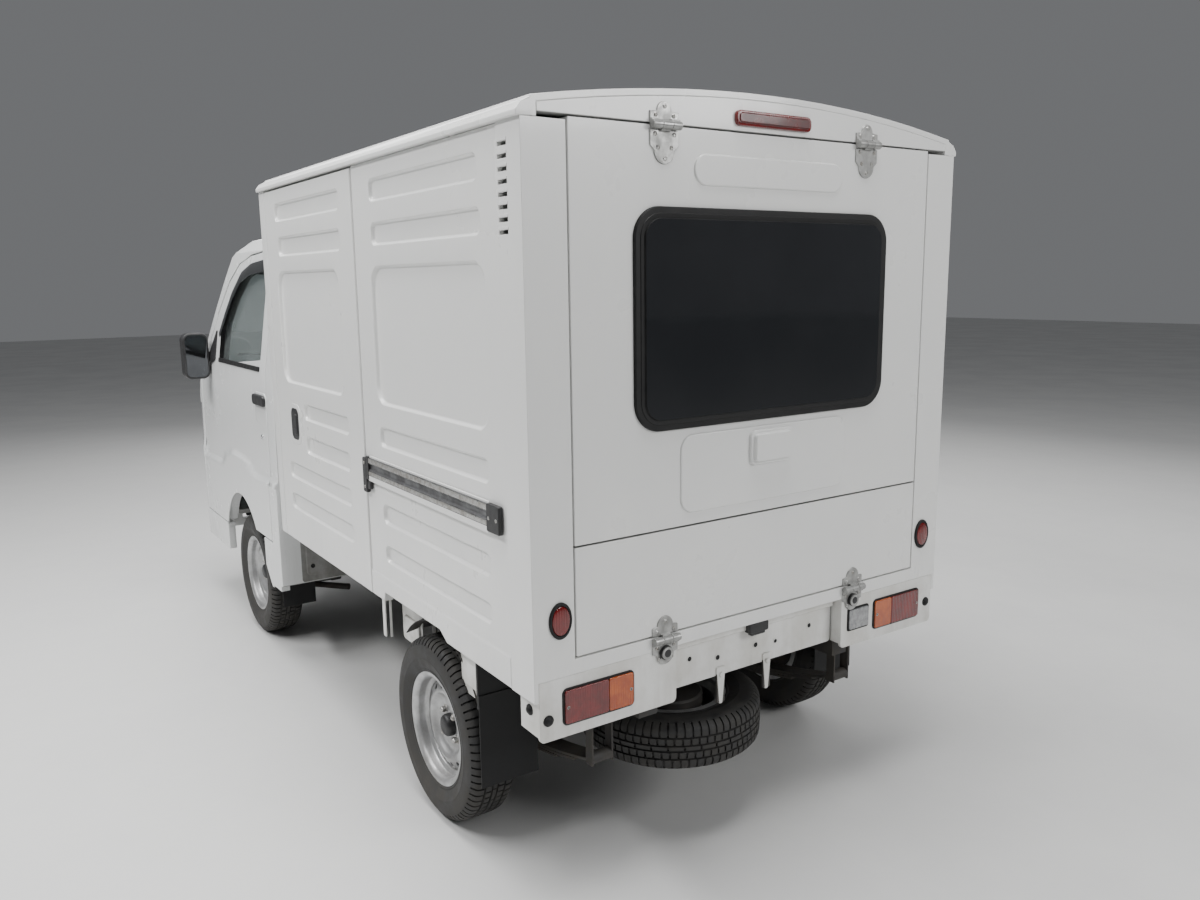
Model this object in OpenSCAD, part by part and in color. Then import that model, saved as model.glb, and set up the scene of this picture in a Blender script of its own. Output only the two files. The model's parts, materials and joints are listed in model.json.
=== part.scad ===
// Kei truck with a closed panel-van body. X points forward, Y to the left and Z up, in millimetres.
// The origin is on the ground, under the middle of the whole vehicle.

/* [Overall] */
// Length over the front bumper and the rear hinges
overall_length = 3395; // [3100:5:4100]
// Height of the roof's crown above the ground
overall_height = 1996; // [1850:1:2300]
// Distance between the axles
wheelbase = 1900; // [1700:5:2250]
// Front axle to the front of the bumper
front_overhang = 854; // [760:1:950]

/* [Wheels] */
// Distance between the middles of the left and right tyres
track = 1300; // [1260:1:1310]
// Outer diameter of a tyre
tyre_diameter = 538; // [480:1:570]
// Width of a tyre
tyre_width = 145; // [120:1:150]
// Diameter over the rim's flanges
rim_diameter = 334; // [300:1:350]
// Width over the rim's flanges
rim_width = 118; // [96:1:120]
// Diameter of the wheel bolt circle
bolt_circle = 100; // [90:1:110]
// Diameter of a wheel bolt hole
bolt_hole = 13; // [10:0.5:16]
// Diameter of a wheel spindle
spindle_diameter = 30; // [20:1:40]
// Gap all round a shaft in its bore
running_gap = 0.05; // [0.02:0.01:0.1]
// Number of vent holes in a wheel
vent_count = 16; // [8:1:18]

/* [Cab] */
// Width over the cab's flared lower sides
cab_width = 1475; // [1440:1:1500]
// Nose to the cab's back panel
cab_length = 1352; // [1280:1:1400]
// Height of the cab's roof
cab_height = 1787; // [1740:1:1900]
// Thickness of the doors and the sides
door_thickness = 50; // [35:1:60]
// Gap round a door
door_gap = 6; // [5:0.5:9]
// Height of the seat deck
deck_height = 650; // [640:1:680]
// Height of the floor for the feet
footwell_height = 495; // [480:1:530]

/* [Box] */
// Width over the box sides
box_width = 1456; // [1400:1:1470]
// Thickness of the box sides and front wall
wall = 28; // [20:1:36]
// Gap between the cab and the box
cab_box_gap = 25; // [20:1:60]
// Height of the cargo floor
cargo_floor_height = 664; // [655:1:720]
// Thickness of the cargo floor
floor_thickness = 37; // [25:1:45]
// Height of the lower edge of the skirts
skirt_height = 578; // [560:1:600]
// Length of a sliding side door
side_door_length = 910; // [700:5:940]
// Gap round the side doors, hatch and tailgate
panel_gap = 5; // [5:0.5:8]

/* [Rear doors] */
// Width of the rear opening
rear_opening_width = 1228; // [1100:1:1250]
// Top of the rear opening
rear_opening_top = 1905; // [1800:1:1915]
// Height at which the hatch meets the tailgate
split_height = 937; // [880:1:1000]
// Thickness of the hatch and the tailgate
gate_thickness = 40; // [25:1:45]
// Width of the rear window over its rubber seal
rear_window_width = 872; // [700:1:950]
// Lower edge of the rear window's seal
rear_window_low = 1187; // [1100:1:1250]
// Upper edge of the rear window's seal
rear_window_high = 1718; // [1600:1:1750]
// Distance between the two hinges of a rear door
hinge_spacing = 692; // [500:1:900]
// Radius of a hinge knuckle
knuckle_radius = 10; // [8:0.5:12]
// Radius of a hinge pin
hinge_pin_radius = 4; // [3:0.5:5]

/* [Chassis] */
// Distance between the middles of the frame rails
rail_spacing = 720; // [640:1:740]
// Width of a frame rail
rail_width = 60; // [50:1:64]
// Lower edge of the frame rails
rail_low = 430; // [420:1:450]
// Upper edge of the frame rails
rail_high = 530; // [515:1:550]
// Outer diameter of the spare tyre
spare_diameter = 530; // [480:1:538]
// Steering axis to the middle of the tyre
kingpin_offset = 85; // [82:1:95]

/* [Hidden] */
$fn = 48;

// Places along X
nose_x = overall_length / 2;
front_axle_x = nose_x - front_overhang;
rear_axle_x = front_axle_x - wheelbase;
cab_back_x = nose_x - cab_length;
box_front_x = cab_back_x - cab_box_gap;
leaf_thickness = 4;
pin_setback = 11;
rear_face_x = -overall_length / 2 + knuckle_radius + pin_setback;
gate_pin_x = rear_face_x - pin_setback;
corner_post = 109;
side_panel_x = rear_face_x + corner_post;
front_post = 60;
door_front_x = box_front_x - front_post - panel_gap;
door_rear_x = door_front_x - side_door_length;

// Places across Y
half_cab = cab_width / 2;
half_box = box_width / 2;
half_inside = half_box - wall;
half_opening = rear_opening_width / 2;
half_track = track / 2;
kingpin_y = half_track - kingpin_offset;
rail_y = rail_spacing / 2;
hinge_y = hinge_spacing / 2;

// Heights
axle_z = tyre_diameter / 2;
floor_low = cargo_floor_height - floor_thickness;
roof_lip_z = overall_height - 103;
roof_radius = 4220;
roof_skin = 16;
belt_z = 1190;
crease_z = 750;
hatch_pin_z = rear_opening_top - panel_gap;
gate_pin_z = cargo_floor_height - 8;
tail_low = 475;
arch_radius = 297;
arch_shift = 88;
arch_z = 325;
well_radius = 322;
bumper_side_top = 430;
bumper_front_top = 560;
cabin_skin = 10;

// A box between two corners
module slab(x0, x1, y0, y1, z0, z1) {
    translate([x0, y0, z0]) cube([x1 - x0, y1 - y0, z1 - z0]);
}

// Draws its children on the left and, mirrored, on the right
module both_sides() {
    children();
    mirror([0, 1, 0]) children();
}

// Draws its children on the left (side 1) or the right (side -1)
module on_side(side) {
    if (side > 0) children();
    else mirror([0, 1, 0]) children();
}

// Extrudes an outline drawn in X and Z from y0 to y1
module along_y(y0, y1) {
    translate([0, y1, 0]) rotate([90, 0, 0]) linear_extrude(y1 - y0) children();
}

// Extrudes an outline drawn in Y and Z from x0 to x1
module along_x(x0, x1) {
    translate([x0, 0, 0]) rotate([90, 0, 90]) linear_extrude(x1 - x0) children();
}

// A rectangle with round corners, between two corners
module round_rect(x0, x1, y0, y1, r) {
    translate([x0 + r, y0]) square([x1 - x0 - 2 * r, y1 - y0]);
    translate([x0, y0 + r]) square([x1 - x0, y1 - y0 - 2 * r]);
    for (x = [x0 + r, x1 - r], y = [y0 + r, y1 - r]) translate([x, y]) circle(r);
}

// A round bar along Y
module bar_y(x, z, r, y0, y1) {
    translate([x, y0, z]) rotate([-90, 0, 0]) cylinder(r = r, h = y1 - y0);
}

// A round bar along X
module bar_x(y, z, r, x0, x1) {
    translate([x0, y, z]) rotate([0, 90, 0]) cylinder(r = r, h = x1 - x0);
}

// A tube or bar between two points
module bar_between(p, q, r) {
    d = q - p;
    translate(p) rotate([0, acos(d[2] / norm(d)), atan2(d[1], d[0])]) cylinder(r = r, h = norm(d));
}

// Points on an arc from p to q that bulges to the left by s
function arc_points(p, q, s, n) =
    let (m = (p + q) / 2, c = norm(q - p), r = (c * c / 4 + s * s) / (2 * s),
        u = [-(q[1] - p[1]), q[0] - p[0]] / c, o = m - u * (r - s),
        a = asin(c / 2 / r))
    [for (i = [0 : n]) let (t = a - 2 * a * i / n) o + r * (u * cos(t) - [u[1], -u[0]] * sin(t))];

// --- Cab outlines ---
screen_base = [nose_x - 100, 1105];
screen_top = [nose_x - 585, cab_height - 112];
roof_front = [nose_x - 830, cab_height - 33];

// Side outline of the cab, in X and Z; depth moves it inwards
function cab_side(depth) = concat(
    [[cab_back_x + depth, 300], [nose_x - 12 - depth, 300], [nose_x - depth, 380], [nose_x - depth, 620],
        [nose_x - 28 - depth, 960], [nose_x - 62 - depth, 1082 - depth / 3]],
    arc_points(screen_base - [depth, depth / 2], screen_top - [depth / 2, depth * 0.9], -26, 8),
    [roof_front - [0, depth], [cab_back_x + 400, cab_height - depth], [cab_back_x + 150, cab_height - 6 - depth],
        [cab_back_x + 35 + depth / 2, cab_height - 30 - depth], [cab_back_x + depth, cab_height - 70 - depth]]);

// Front outline of the cab, in Y and Z, for the left half; depth moves it inwards
function cab_front_half(depth) = [[half_cab - depth, 200], [half_cab - depth, crease_z - 15],
    [half_cab - 9 - depth, crease_z + 40], [half_cab - 12 - depth, 900], [half_cab - 17 - depth, belt_z],
    [half_cab - 92 - depth, cab_height - 95 - depth / 2], [half_cab - 130 - depth, cab_height - 48 - depth],
    [half_cab - 270 - depth, cab_height - 16 - depth], [0, cab_height + 2 - depth]];

// Both halves of the front outline
function cab_front(depth) = concat([[0, 200]], cab_front_half(depth),
    [for (i = [len(cab_front_half(depth)) - 2 : -1 : 0]) let (p = cab_front_half(depth)[i]) [-p[0], p[1]]]);

// Plan of the cab with rounded front corners
module cab_plan(depth) {
    round = 90;
    translate([cab_back_x + depth, -half_cab + depth])
        square([cab_length - round - 2 * depth, cab_width - 2 * depth]);
    translate([cab_back_x + depth, -half_cab + round]) square([cab_length - 2 * depth, cab_width - 2 * round]);
    for (s = [-1, 1])
        translate([nose_x - round - depth, s * (half_cab - round - depth)]) circle(round);
}

// The closed cab, moved inwards by depth
module cab_block(depth) {
    intersection() {
        along_y(-half_cab, half_cab) polygon(cab_side(depth));
        along_x(cab_back_x - 10, nose_x + 10) polygon(cab_front(depth));
        translate([0, 0, 200]) linear_extrude(1800) cab_plan(depth);
    }
}

// Front wheel arch, in X and Z, grown by extra
module arch_outline(extra) {
    translate([front_axle_x + arch_shift, arch_z]) circle(arch_radius + extra);
    polygon([[front_axle_x - 108 - extra, 548 + extra / 2], [front_axle_x - 348 - extra, 300],
        [front_axle_x - 348 - extra, 200], [front_axle_x + arch_shift + arch_radius + extra, 200],
        [front_axle_x + arch_shift + arch_radius + extra, arch_z], [front_axle_x + arch_shift, arch_z]]);
}

// Outline of a cab door, in X and Z; inset makes it smaller, a negative inset larger
door_rear = cab_back_x + 105;
door_low = 505;
door_hinge_x = nose_x - 108;
function door_points(inset) = [
    [door_rear + inset, door_low + inset], [front_axle_x - 160, door_low + inset],
    [front_axle_x + arch_shift, bumper_side_top + door_gap + inset],
    [door_hinge_x - inset, bumper_side_top + door_gap + inset], [door_hinge_x - inset, 1085 - inset],
    [door_hinge_x - 90 - inset, 1165 - inset], [door_hinge_x - 290 - inset, 1413 - inset],
    [door_hinge_x - 460 - inset, 1560 - inset], [door_hinge_x - 620 - inset / 2, 1640 - inset],
    [door_hinge_x - 800, 1672 - inset], [door_rear + inset, 1690 - inset]];
module door_outline(inset) {
    difference() {
        polygon(door_points(inset));
        arch_outline(inset + 0);
    }
}

// Outline of the door window, in X and Z
module door_window() {
    polygon([[door_rear + 75, belt_z + 58], [door_rear + 75, 1600], [door_rear + 95, 1622],
        [door_hinge_x - 800, 1615], [door_hinge_x - 640, 1580], [door_hinge_x - 490, 1490],
        [door_hinge_x - 370, 1370], [door_hinge_x - 370, belt_z + 15], [door_hinge_x - 540, belt_z + 15]]);
}

// A band of the cab's left side between two depths
module side_band(outer, inner) {
    difference() {
        along_x(cab_back_x, nose_x) polygon(cab_front(outer));
        along_x(cab_back_x - 1, nose_x + 1) polygon(cab_front(inner));
        slab(cab_back_x - 2, nose_x + 2, -half_cab - 1, 0, 100, cab_height + 50);
    }
}

// --- Chassis ---
module chassis_frame() color("#3a3b3c") {
    front_end = nose_x - 130;
    rear_end = rear_face_x + 52;
    kick_x = front_axle_x + 255;
    low_rail = footwell_height - 30;
    union() {
        both_sides() {
            slab(rear_end, kick_x, rail_y - rail_width / 2, rail_y + rail_width / 2, rail_low, rail_high);
            slab(kick_x - 150, front_end, rail_y - rail_width / 2, rail_y + rail_width / 2, low_rail - 105, low_rail);
        }
        for (x = [rear_axle_x + 420, rear_axle_x - 360, cab_back_x - 60])
            slab(x, x + 50, -rail_y, rail_y, rail_low + 15, rail_high - 15);
        slab(front_end - 60, front_end, -rail_y, rail_y, low_rail - 90, low_rail - 15);
        slab(rear_end - 12, rear_end, -half_opening / 2 + 2, half_opening / 2 - 2, 490, floor_low);
        for (y = [125, -45]) slab(rear_end - 17, rear_end - 12, y - 14, y + 14, 412, 512);
    }
}

module engine() color("#6b6d70") {
    half_engine = rail_y - rail_width / 2 - 110;
    slab(cab_back_x + 40, cab_back_x + 460, -half_engine, half_engine, 270, 600);
    bar_x(0, 340, 90, cab_back_x - 240, cab_back_x + 40);
}

module fuel_tank() color("#2c2d2f") {
    outer = half_box - 60;
    inner = rail_y + rail_width / 2;
    mirror([0, 1, 0]) along_x(cab_back_x - 560, cab_back_x - 80)
        round_rect(inner, outer, 310, rail_high, 30);
}

pivot_radius = 9;
module suspension() color("#2e2f31") {
    foot = axle_z + 74;
    arm_high = axle_z - 70;
    arm_low = axle_z - 95;
    pivot_room = pivot_radius + running_gap;
    both_sides() {
        difference() {
            union() {
                translate([front_axle_x, kingpin_y, foot]) cylinder(r = 22, h = 34);
                bar_between([front_axle_x, kingpin_y - 8, foot + 28],
                    [front_axle_x, kingpin_y - 60, deck_height - 34], 21);
            }
            translate([front_axle_x, kingpin_y, foot - 1]) cylinder(r = pivot_room, h = 24);
        }
        difference() {
            union() {
                slab(front_axle_x - 40, front_axle_x + 40, rail_y - rail_width / 2, kingpin_y - 60, arm_low, arm_high);
                slab(front_axle_x - 16, front_axle_x + 16, kingpin_y - 61, kingpin_y, arm_low, arm_high);
                translate([front_axle_x, kingpin_y, arm_low]) cylinder(r = 21, h = arm_high - arm_low);
                slab(front_axle_x - 40, front_axle_x + 40, rail_y - rail_width / 2, rail_y + rail_width / 2,
                    arm_low, rail_low);
            }
            translate([front_axle_x, kingpin_y, arm_low - 1]) cylinder(r = pivot_room, h = 40);
        }
        for (i = [0 : 2])
            slab(rear_axle_x - 480 + 70 * i, rear_axle_x + 480 - 70 * i, rail_y + 65, rail_y + 125,
                axle_z - 42 - 8 * i, axle_z - 34 - 8 * i);
        for (x = [rear_axle_x - 480, rear_axle_x + 450])
            slab(x, x + 30, rail_y + rail_width / 2, rail_y + 125, axle_z - 34, rail_high - 40);
    }
}

diff_y = -90;
module rear_axle() color("#2b2c2d") {
    half_tube = half_track - tyre_width / 2 - 5;
    bar_y(rear_axle_x, axle_z, 34, -half_tube, half_tube);
    both_sides() bar_y(rear_axle_x, axle_z, spindle_diameter / 2, half_tube, half_track + 30);
    translate([rear_axle_x, diff_y, axle_z]) sphere(90);
    bar_between([rear_axle_x, diff_y, axle_z], [cab_back_x - 248, 0, 340], 28);
}

module exhaust() color("#7d7a74") {
    bar_x(-rail_y + 110, 330, 70, rear_axle_x + 260, rear_axle_x + 720);
    bar_x(-rail_y + 110, 330, 20, rear_axle_x + 720, cab_back_x + 40);
    bar_x(-rail_y + 110, 380, 18, rear_axle_x + 150, rear_axle_x + 300);
    slab(cab_back_x + 40, cab_back_x + 90, -rail_y + rail_width / 2 + 80, -rail_y + rail_width / 2 + 110, 318, 342);
}

// --- Cab ---
module cab_cavity() {
    intersection() {
        cab_block(door_thickness);
        along_y(-half_cab, half_cab) polygon([[cab_back_x, deck_height], [front_axle_x + 290, deck_height],
            [front_axle_x + 290, footwell_height], [nose_x, footwell_height], [nose_x, cab_height + 50],
            [cab_back_x, cab_height + 50]]);
    }
}

module cab_under_space() {
    riser = front_axle_x + 265;
    inner = half_cab - 36;
    along_y(-inner, inner) polygon([[cab_back_x + 12, 200], [cab_back_x + 12, deck_height - 28],
        [riser, deck_height - 28], [riser, footwell_height - 25], [nose_x - 60, footwell_height - 25],
        [nose_x - 60, 200]]);
}

module screen_hole() {
    low = screen_base + [-70, 40];
    high = screen_top + [-20, -60];
    along_y(-half_cab + 130, half_cab - 130)
        polygon([low + [-60, 0], high + [-60, -60], high + [70, 45], low + [90, 40]]);
}

module rear_window_hole() {
    along_x(cab_back_x - 5, cab_back_x + 60) round_rect(-520, 520, 1240, 1600, 50);
}

bumper_outline = [[front_axle_x + arch_shift + arch_radius - 12, 290], [nose_x + 5, 290],
    [nose_x + 5, bumper_front_top], [nose_x - 58, bumper_front_top], [nose_x - 96, bumper_side_top],
    [front_axle_x + arch_shift + arch_radius - 12, bumper_side_top]];
lamp_low = 700;
lamp_high = 970;
lamp_inner = 450;
lamp_depth = 70;

module cab_shell() color("white") {
    difference() {
        cab_block(0);
        cab_cavity();
        cab_under_space();
        screen_hole();
        rear_window_hole();
        both_sides() {
            intersection() {
                along_y(half_cab - 230, half_cab + 5) polygon(door_points(-door_gap));
                side_band(-5, door_thickness + 1);
            }
            along_y(kingpin_y, half_cab + 5) arch_outline(0);
            translate([front_axle_x, kingpin_y, 100]) cylinder(r = well_radius, h = deck_height - 128);
            slab(nose_x - lamp_depth, nose_x + 5, lamp_inner, half_cab + 5, lamp_low, lamp_high);
            slab(cab_back_x - 5, cab_back_x + 130, half_cab - 90, half_cab + 5, 250, 310);
        }
        along_y(-half_cab - 5, half_cab + 5) polygon(bumper_outline);
        slab(cab_back_x - 5, cab_back_x + 20, -half_cab, half_cab, 200, 335);
        slab(cab_back_x - 5, nose_x + 5, -half_cab, half_cab, 200, 292);
        slab(cab_back_x - 5, cab_back_x + 20, -rail_y - rail_width / 2, rail_y + rail_width / 2, 200, rail_high);
    }
}

glass_thickness = 6;
module cab_glass() color("#9fb0b2", 0.4) {
    intersection() {
        screen_hole();
        difference() {
            cab_block(4);
            cab_block(4 + glass_thickness);
        }
    }
    along_x(cab_back_x + 8, cab_back_x + 8 + glass_thickness) round_rect(-520, 520, 1240, 1600, 50);
}

module front_bumper() color("white") {
    difference() {
        intersection() {
            cab_block(0);
            along_y(-half_cab, half_cab) polygon(bumper_outline);
        }
        translate([0, 0, 200]) linear_extrude(500) intersection() {
            cab_plan(34);
            translate([front_axle_x, -half_cab]) square([cab_length, cab_width]);
        }
        both_sides() slab(nose_x - 40, nose_x + 5, 420, 560, 340, 430);
    }
}

module headlamps() color("#c9ced1") {
    both_sides() intersection() {
        cab_block(0.5);
        slab(nose_x - lamp_depth, nose_x, lamp_inner, half_cab, lamp_low, lamp_high);
    }
}

wheel_centre = [front_axle_x + 270, -340, 1130];
column_angle = 42;
column_dir = [-cos(column_angle), 0, sin(column_angle)];
module dashboard() color("#4a4d50") {
    half_dash = half_cab - door_thickness - 35;
    dash_back = nose_x - 360;
    union() {
        along_y(-half_dash, half_dash) polygon([[dash_back, 860], [nose_x - 180, 860], [nose_x - 180, 1040],
            [nose_x - 215, 1066], [dash_back + 60, 1080], [dash_back, 1040]]);
        bar_between(wheel_centre - 330 * column_dir, wheel_centre - 26 * column_dir, 28);
        both_sides() slab(nose_x - 181, nose_x - 28.5 - door_thickness, 200, 260, 900, 960);
    }
}

module seats() color("#5c5f63") {
    both_sides() along_y(100, 570) polygon([[cab_back_x + 60, deck_height], [cab_back_x + 560, deck_height],
        [cab_back_x + 585, deck_height + 60], [cab_back_x + 560, deck_height + 130],
        [cab_back_x + 200, deck_height + 105], [cab_back_x + 135, 1180], [cab_back_x + 130, 1370],
        [cab_back_x + 70, 1375], [cab_back_x + 60, 1150]]);
}

// --- Box ---
module box_floor() color("#b9bbb9") {
    union() {
        slab(rear_face_x + gate_thickness, side_panel_x, -half_opening, half_opening, floor_low, cargo_floor_height);
        slab(side_panel_x, box_front_x - wall, -half_inside, half_inside, floor_low, cargo_floor_height);
        for (x = [rear_axle_x + 860, rear_axle_x + 420, rear_axle_x - 360])
            slab(x, x + 50, -half_inside + 60, half_inside - 60, rail_high, floor_low);
        slab(rear_axle_x, rear_axle_x + 50, -rail_y - 100, rail_y + 100, rail_high, floor_low);
    }
}

// Skirt outline of the fixed side panel, in X and Z
module side_outline() {
    polygon([[side_panel_x, skirt_height], [rear_axle_x - 149, skirt_height + 2], [rear_axle_x - 105, skirt_height + 29],
        [rear_axle_x + 292, skirt_height + 29], [rear_axle_x + 300, skirt_height], [door_rear_x - panel_gap, skirt_height],
        [door_rear_x - panel_gap, roof_lip_z], [side_panel_x, roof_lip_z]]);
}

module box_side(side) color("white") {
    on_side(side) along_y(half_inside, half_box) side_outline();
}

module sliding_door(side) color("white") {
    handle_x = door_front_x - 150;
    on_side(side) difference() {
        slab(door_rear_x, door_front_x, half_inside, half_box, skirt_height, roof_lip_z - panel_gap);
        along_y(half_box - 18, half_box + 5) round_rect(handle_x - 60, handle_x, 972, 1113, 29);
    }
}

module box_front_wall() color("white") {
    union() {
        slab(box_front_x - wall, box_front_x, -half_inside, half_inside, floor_low, roof_lip_z);
        both_sides() slab(box_front_x - front_post, box_front_x, half_inside, half_box, skirt_height, roof_lip_z);
    }
}

// The part of the roof's crown disc above low, in Y and Z, lowered by drop
module crown(drop, low = roof_lip_z) {
    intersection() {
        translate([0, overall_height - roof_radius]) circle(r = roof_radius - drop, $fn = 1440);
        translate([-half_inside - 2, low]) square([2 * half_inside + 4, overall_height - low]);
    }
}

eave = 9.5;
module box_roof() color("white") {
    lip = half_box + eave;
    slab_front = box_front_x;
    difference() {
        along_x(rear_face_x, slab_front) {
            crown(0);
            for (s = [-1, 1])
                polygon([[s * (half_inside - 5), roof_lip_z], [s * (half_inside - 5), overall_height - 60],
                    [s * (half_box - 3), roof_lip_z + 28], [s * lip, roof_lip_z + 12], [s * lip, roof_lip_z]]);
        }
        along_x(rear_face_x - 1, slab_front - wall) intersection() {
            crown(roof_skin);
            translate([-half_inside + 14, 0]) square([2 * half_inside - 28, 3000]);
        }
    }
}

// Hinge plate outline, in Y and Z: round at one end and straight at the pin
module leaf_outline(y, z, width, length) {
    s = sign(length);
    r = min(width * 0.35, abs(length) * 0.5);
    translate([y, z + length - s * r]) circle(r);
    polygon([[y - width / 2, z], [y + width / 2, z], [y + width / 2, z + length * 0.45],
        [y + r, z + length - s * r], [y - r, z + length - s * r], [y - width / 2, z + length * 0.45]]);
}

// One hinge's fixed half: plate, outer knuckles and pin
module hinge_fixed(z, length, width) {
    for (y = [-hinge_y, hinge_y]) {
        along_x(rear_face_x - leaf_thickness, rear_face_x)
            leaf_outline(y, z + sign(length) * (knuckle_radius + 1), width, length - sign(length) * (knuckle_radius + 1));
        for (s = [-1, 1]) {
            bar_y(gate_pin_x, z, knuckle_radius, y + s * width * 0.34 - width * 0.16, y + s * width * 0.34 + width * 0.16);
            slab(gate_pin_x, rear_face_x, y + s * width * 0.34 - width * 0.16, y + s * width * 0.34 + width * 0.16,
                z + (length > 0 ? 0 : -knuckle_radius - 4), z + (length > 0 ? knuckle_radius + 4 : 0));
        }
        bar_y(gate_pin_x, z, hinge_pin_radius, y - width / 2, y + width / 2);
    }
}

// The half of a hinge that moves: plate and middle knuckle, bored for the pin
module hinge_moving(z, length, width) {
    for (y = [-hinge_y, hinge_y]) difference() {
        union() {
            along_x(rear_face_x - leaf_thickness, rear_face_x)
                leaf_outline(y, z + sign(length) * (knuckle_radius + 1), width, length - sign(length) * (knuckle_radius + 1));
            bar_y(gate_pin_x, z, knuckle_radius, y - width * 0.17, y + width * 0.17);
            slab(gate_pin_x, rear_face_x, y - width * 0.17, y + width * 0.17,
                z + (length > 0 ? 0 : -knuckle_radius - 4), z + (length > 0 ? knuckle_radius + 4 : 0));
        }
        bar_y(gate_pin_x, z, hinge_pin_radius + running_gap, y - width, y + width);
    }
}

upper_leaf_width = 84;
lower_leaf_width = 80;
louvre_count = 8;
louvre_pitch = 27;
module rear_frame() color("white") {
    louvre_top = 1850;
    difference() {
        union() {
            both_sides() {
                slab(rear_face_x, side_panel_x, half_opening, half_box, floor_low, roof_lip_z);
                slab(rear_face_x, side_panel_x, half_box - 12, half_box, skirt_height, floor_low);
            }
            along_x(rear_face_x, rear_face_x + gate_thickness) intersection() {
                crown(roof_skin, rear_opening_top);
                translate([-half_inside + 14, rear_opening_top])
                    square([2 * half_inside - 28, overall_height - rear_opening_top]);
            }
            slab(rear_face_x, rear_face_x + gate_thickness, -half_opening, half_opening, floor_low, cargo_floor_height);
            hinge_fixed(hatch_pin_z, 53, upper_leaf_width);
            hinge_fixed(gate_pin_z, -68, lower_leaf_width);
            both_sides() bar_x(hinge_y, gate_pin_z - 36, 17, rear_face_x - leaf_thickness - 11, rear_face_x);
        }
        both_sides() {
            slab(rear_face_x + 14, side_panel_x + 1, half_opening - 1, half_box - 14, floor_low + 60, roof_lip_z - 30);
            for (i = [0 : louvre_count - 1])
                slab(rear_face_x + 62, side_panel_x - 6, half_box - 15, half_box + 1,
                    louvre_top - i * louvre_pitch - 9, louvre_top - i * louvre_pitch + 2);
        }
    }
}

module door_rails() color("#8a8d8f") {
    rail_x0 = side_panel_x + 20;
    rail_x1 = door_rear_x - 40;
    both_sides() {
        along_x(rail_x0 + 60, rail_x1) polygon([[half_box, 968], [half_box + 8, 968], [half_box + 8, 986],
            [half_box + 3, 990], [half_box + 3, 1002], [half_box + 8, 1006], [half_box + 8, 1024], [half_box, 1024]]);
        slab(rail_x0, rail_x0 + 60, half_box, half_box + 9, 958, 1026);
    }
}

lamp_x = rear_face_x - 6;
module tail_panel() color("white") {
    plate = 10;
    recess = half_opening / 2;
    difference() {
        union() {
            both_sides() {
                along_x(rear_face_x, rear_face_x + plate) round_rect(recess, half_box - 12, tail_low, floor_low, 14);
                slab(rear_face_x, rear_face_x + 52, recess, recess + plate, tail_low + 14, floor_low);
                slab(rear_face_x, rear_face_x + 90, half_box - 22, half_box - 12, tail_low + 14, skirt_height);
                slab(rear_face_x, rear_face_x + 60, recess + 20, half_box - 12, floor_low - 8, floor_low);
            }
        }
        both_sides() along_x(rear_face_x - 1, rear_face_x + plate + 1) round_rect(448, 648, 509, 593, 12);
        along_x(rear_face_x - 1, rear_face_x + plate + 1) round_rect(-418, -337, 527, 588, 6);
    }
}

module rear_lamps() color("#a01512") {
    both_sides() {
        along_x(lamp_x, rear_face_x + 10) round_rect(448, 648, 509, 593, 12);
        along_x(rear_face_x - 5, rear_face_x) translate([half_opening + 40, 768]) circle(31);
    }
    along_x(lamp_x, rear_face_x + 10) round_rect(-418, -337, 527, 588, 6);
    along_x(rear_face_x - 12, rear_face_x) round_rect(-128, 128, rear_opening_top + 13, rear_opening_top + 47, 10);
}

module mudflaps() color("#1c1d1e") {
    flap = 4;
    both_sides() {
        slab(rear_axle_x - 304, rear_axle_x - 304 + flap, 540, half_inside + 15, 218, 480);
        slab(rear_axle_x - 300, rear_axle_x - 290, 540, half_inside + 15, 440, skirt_height - 2);
        slab(rear_axle_x - 300, rear_axle_x - 290, rail_y + rail_width / 2, 540, 470, rail_high);
        slab(front_axle_x - 352, front_axle_x - 352 + flap, 560, half_cab - 40, 200, 470);
        slab(front_axle_x - 356, front_axle_x - 352, rail_y + rail_width / 2, half_cab - 36, 440, 500);
    }
}

// --- Wheels ---
// One steel wheel with its hub, about its own axle along Y, outer face towards +Y
module wheel_shape() {
    r = rim_diameter / 2;
    difference() {
        union() {
            rotate([-90, 0, 0]) rotate_extrude() {
                polygon([[r, rim_width / 2], [r, rim_width / 2 - 6], [r - 15, rim_width / 2 - 12],
                    [r - 15, rim_width / 2 - 30], [r - 30, rim_width / 2 - 42], [r - 30, -rim_width / 2 + 30],
                    [r - 15, -rim_width / 2 + 12], [r, -rim_width / 2 + 6], [r, -rim_width / 2],
                    [r - 18, -rim_width / 2], [r - 20, -rim_width / 2 + 12], [r - 35, -rim_width / 2 + 28],
                    [r - 35, 6], [r - 62, 20], [r - 70, 18], [r - 82, 0], [30, 0], [30, 6], [r - 84, 6],
                    [r - 74, 24], [r - 64, 28], [r - 35, 14], [r - 35, rim_width / 2 - 40],
                    [r - 20, rim_width / 2 - 27], [r - 20, rim_width / 2 - 9], [r - 6, rim_width / 2]]);
            }
            bar_y(0, 0, 34, -60, 34);
            difference() {
                bar_y(0, 0, 98, -58, -14);
                bar_y(0, 0, 90, -52, -13);
            }
            difference() {
                bar_y(0, 0, 72, -14, 0.5);
                bar_y(0, 0, 30, -20, 5);
            }
            bar_y(0, 0, 92, -52, -46);
            bar_y(0, 0, 50, -47, -13);
        }
        for (i = [0 : vent_count - 1]) rotate([0, 360 * i / vent_count, 0])
            bar_y(r - 48, 0, 11, -10, 60);
        for (i = [0 : 3]) rotate([0, 45 + 90 * i, 0]) bar_y(bolt_circle / 2, 0, bolt_hole / 2, -60, 40);
        bar_y(0, 0, spindle_diameter / 2 + running_gap, -70, 30.5);
    }
}

module wheel_at(x, side) {
    on_side(side) translate([x, half_track, axle_z]) wheel_shape();
}

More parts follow.
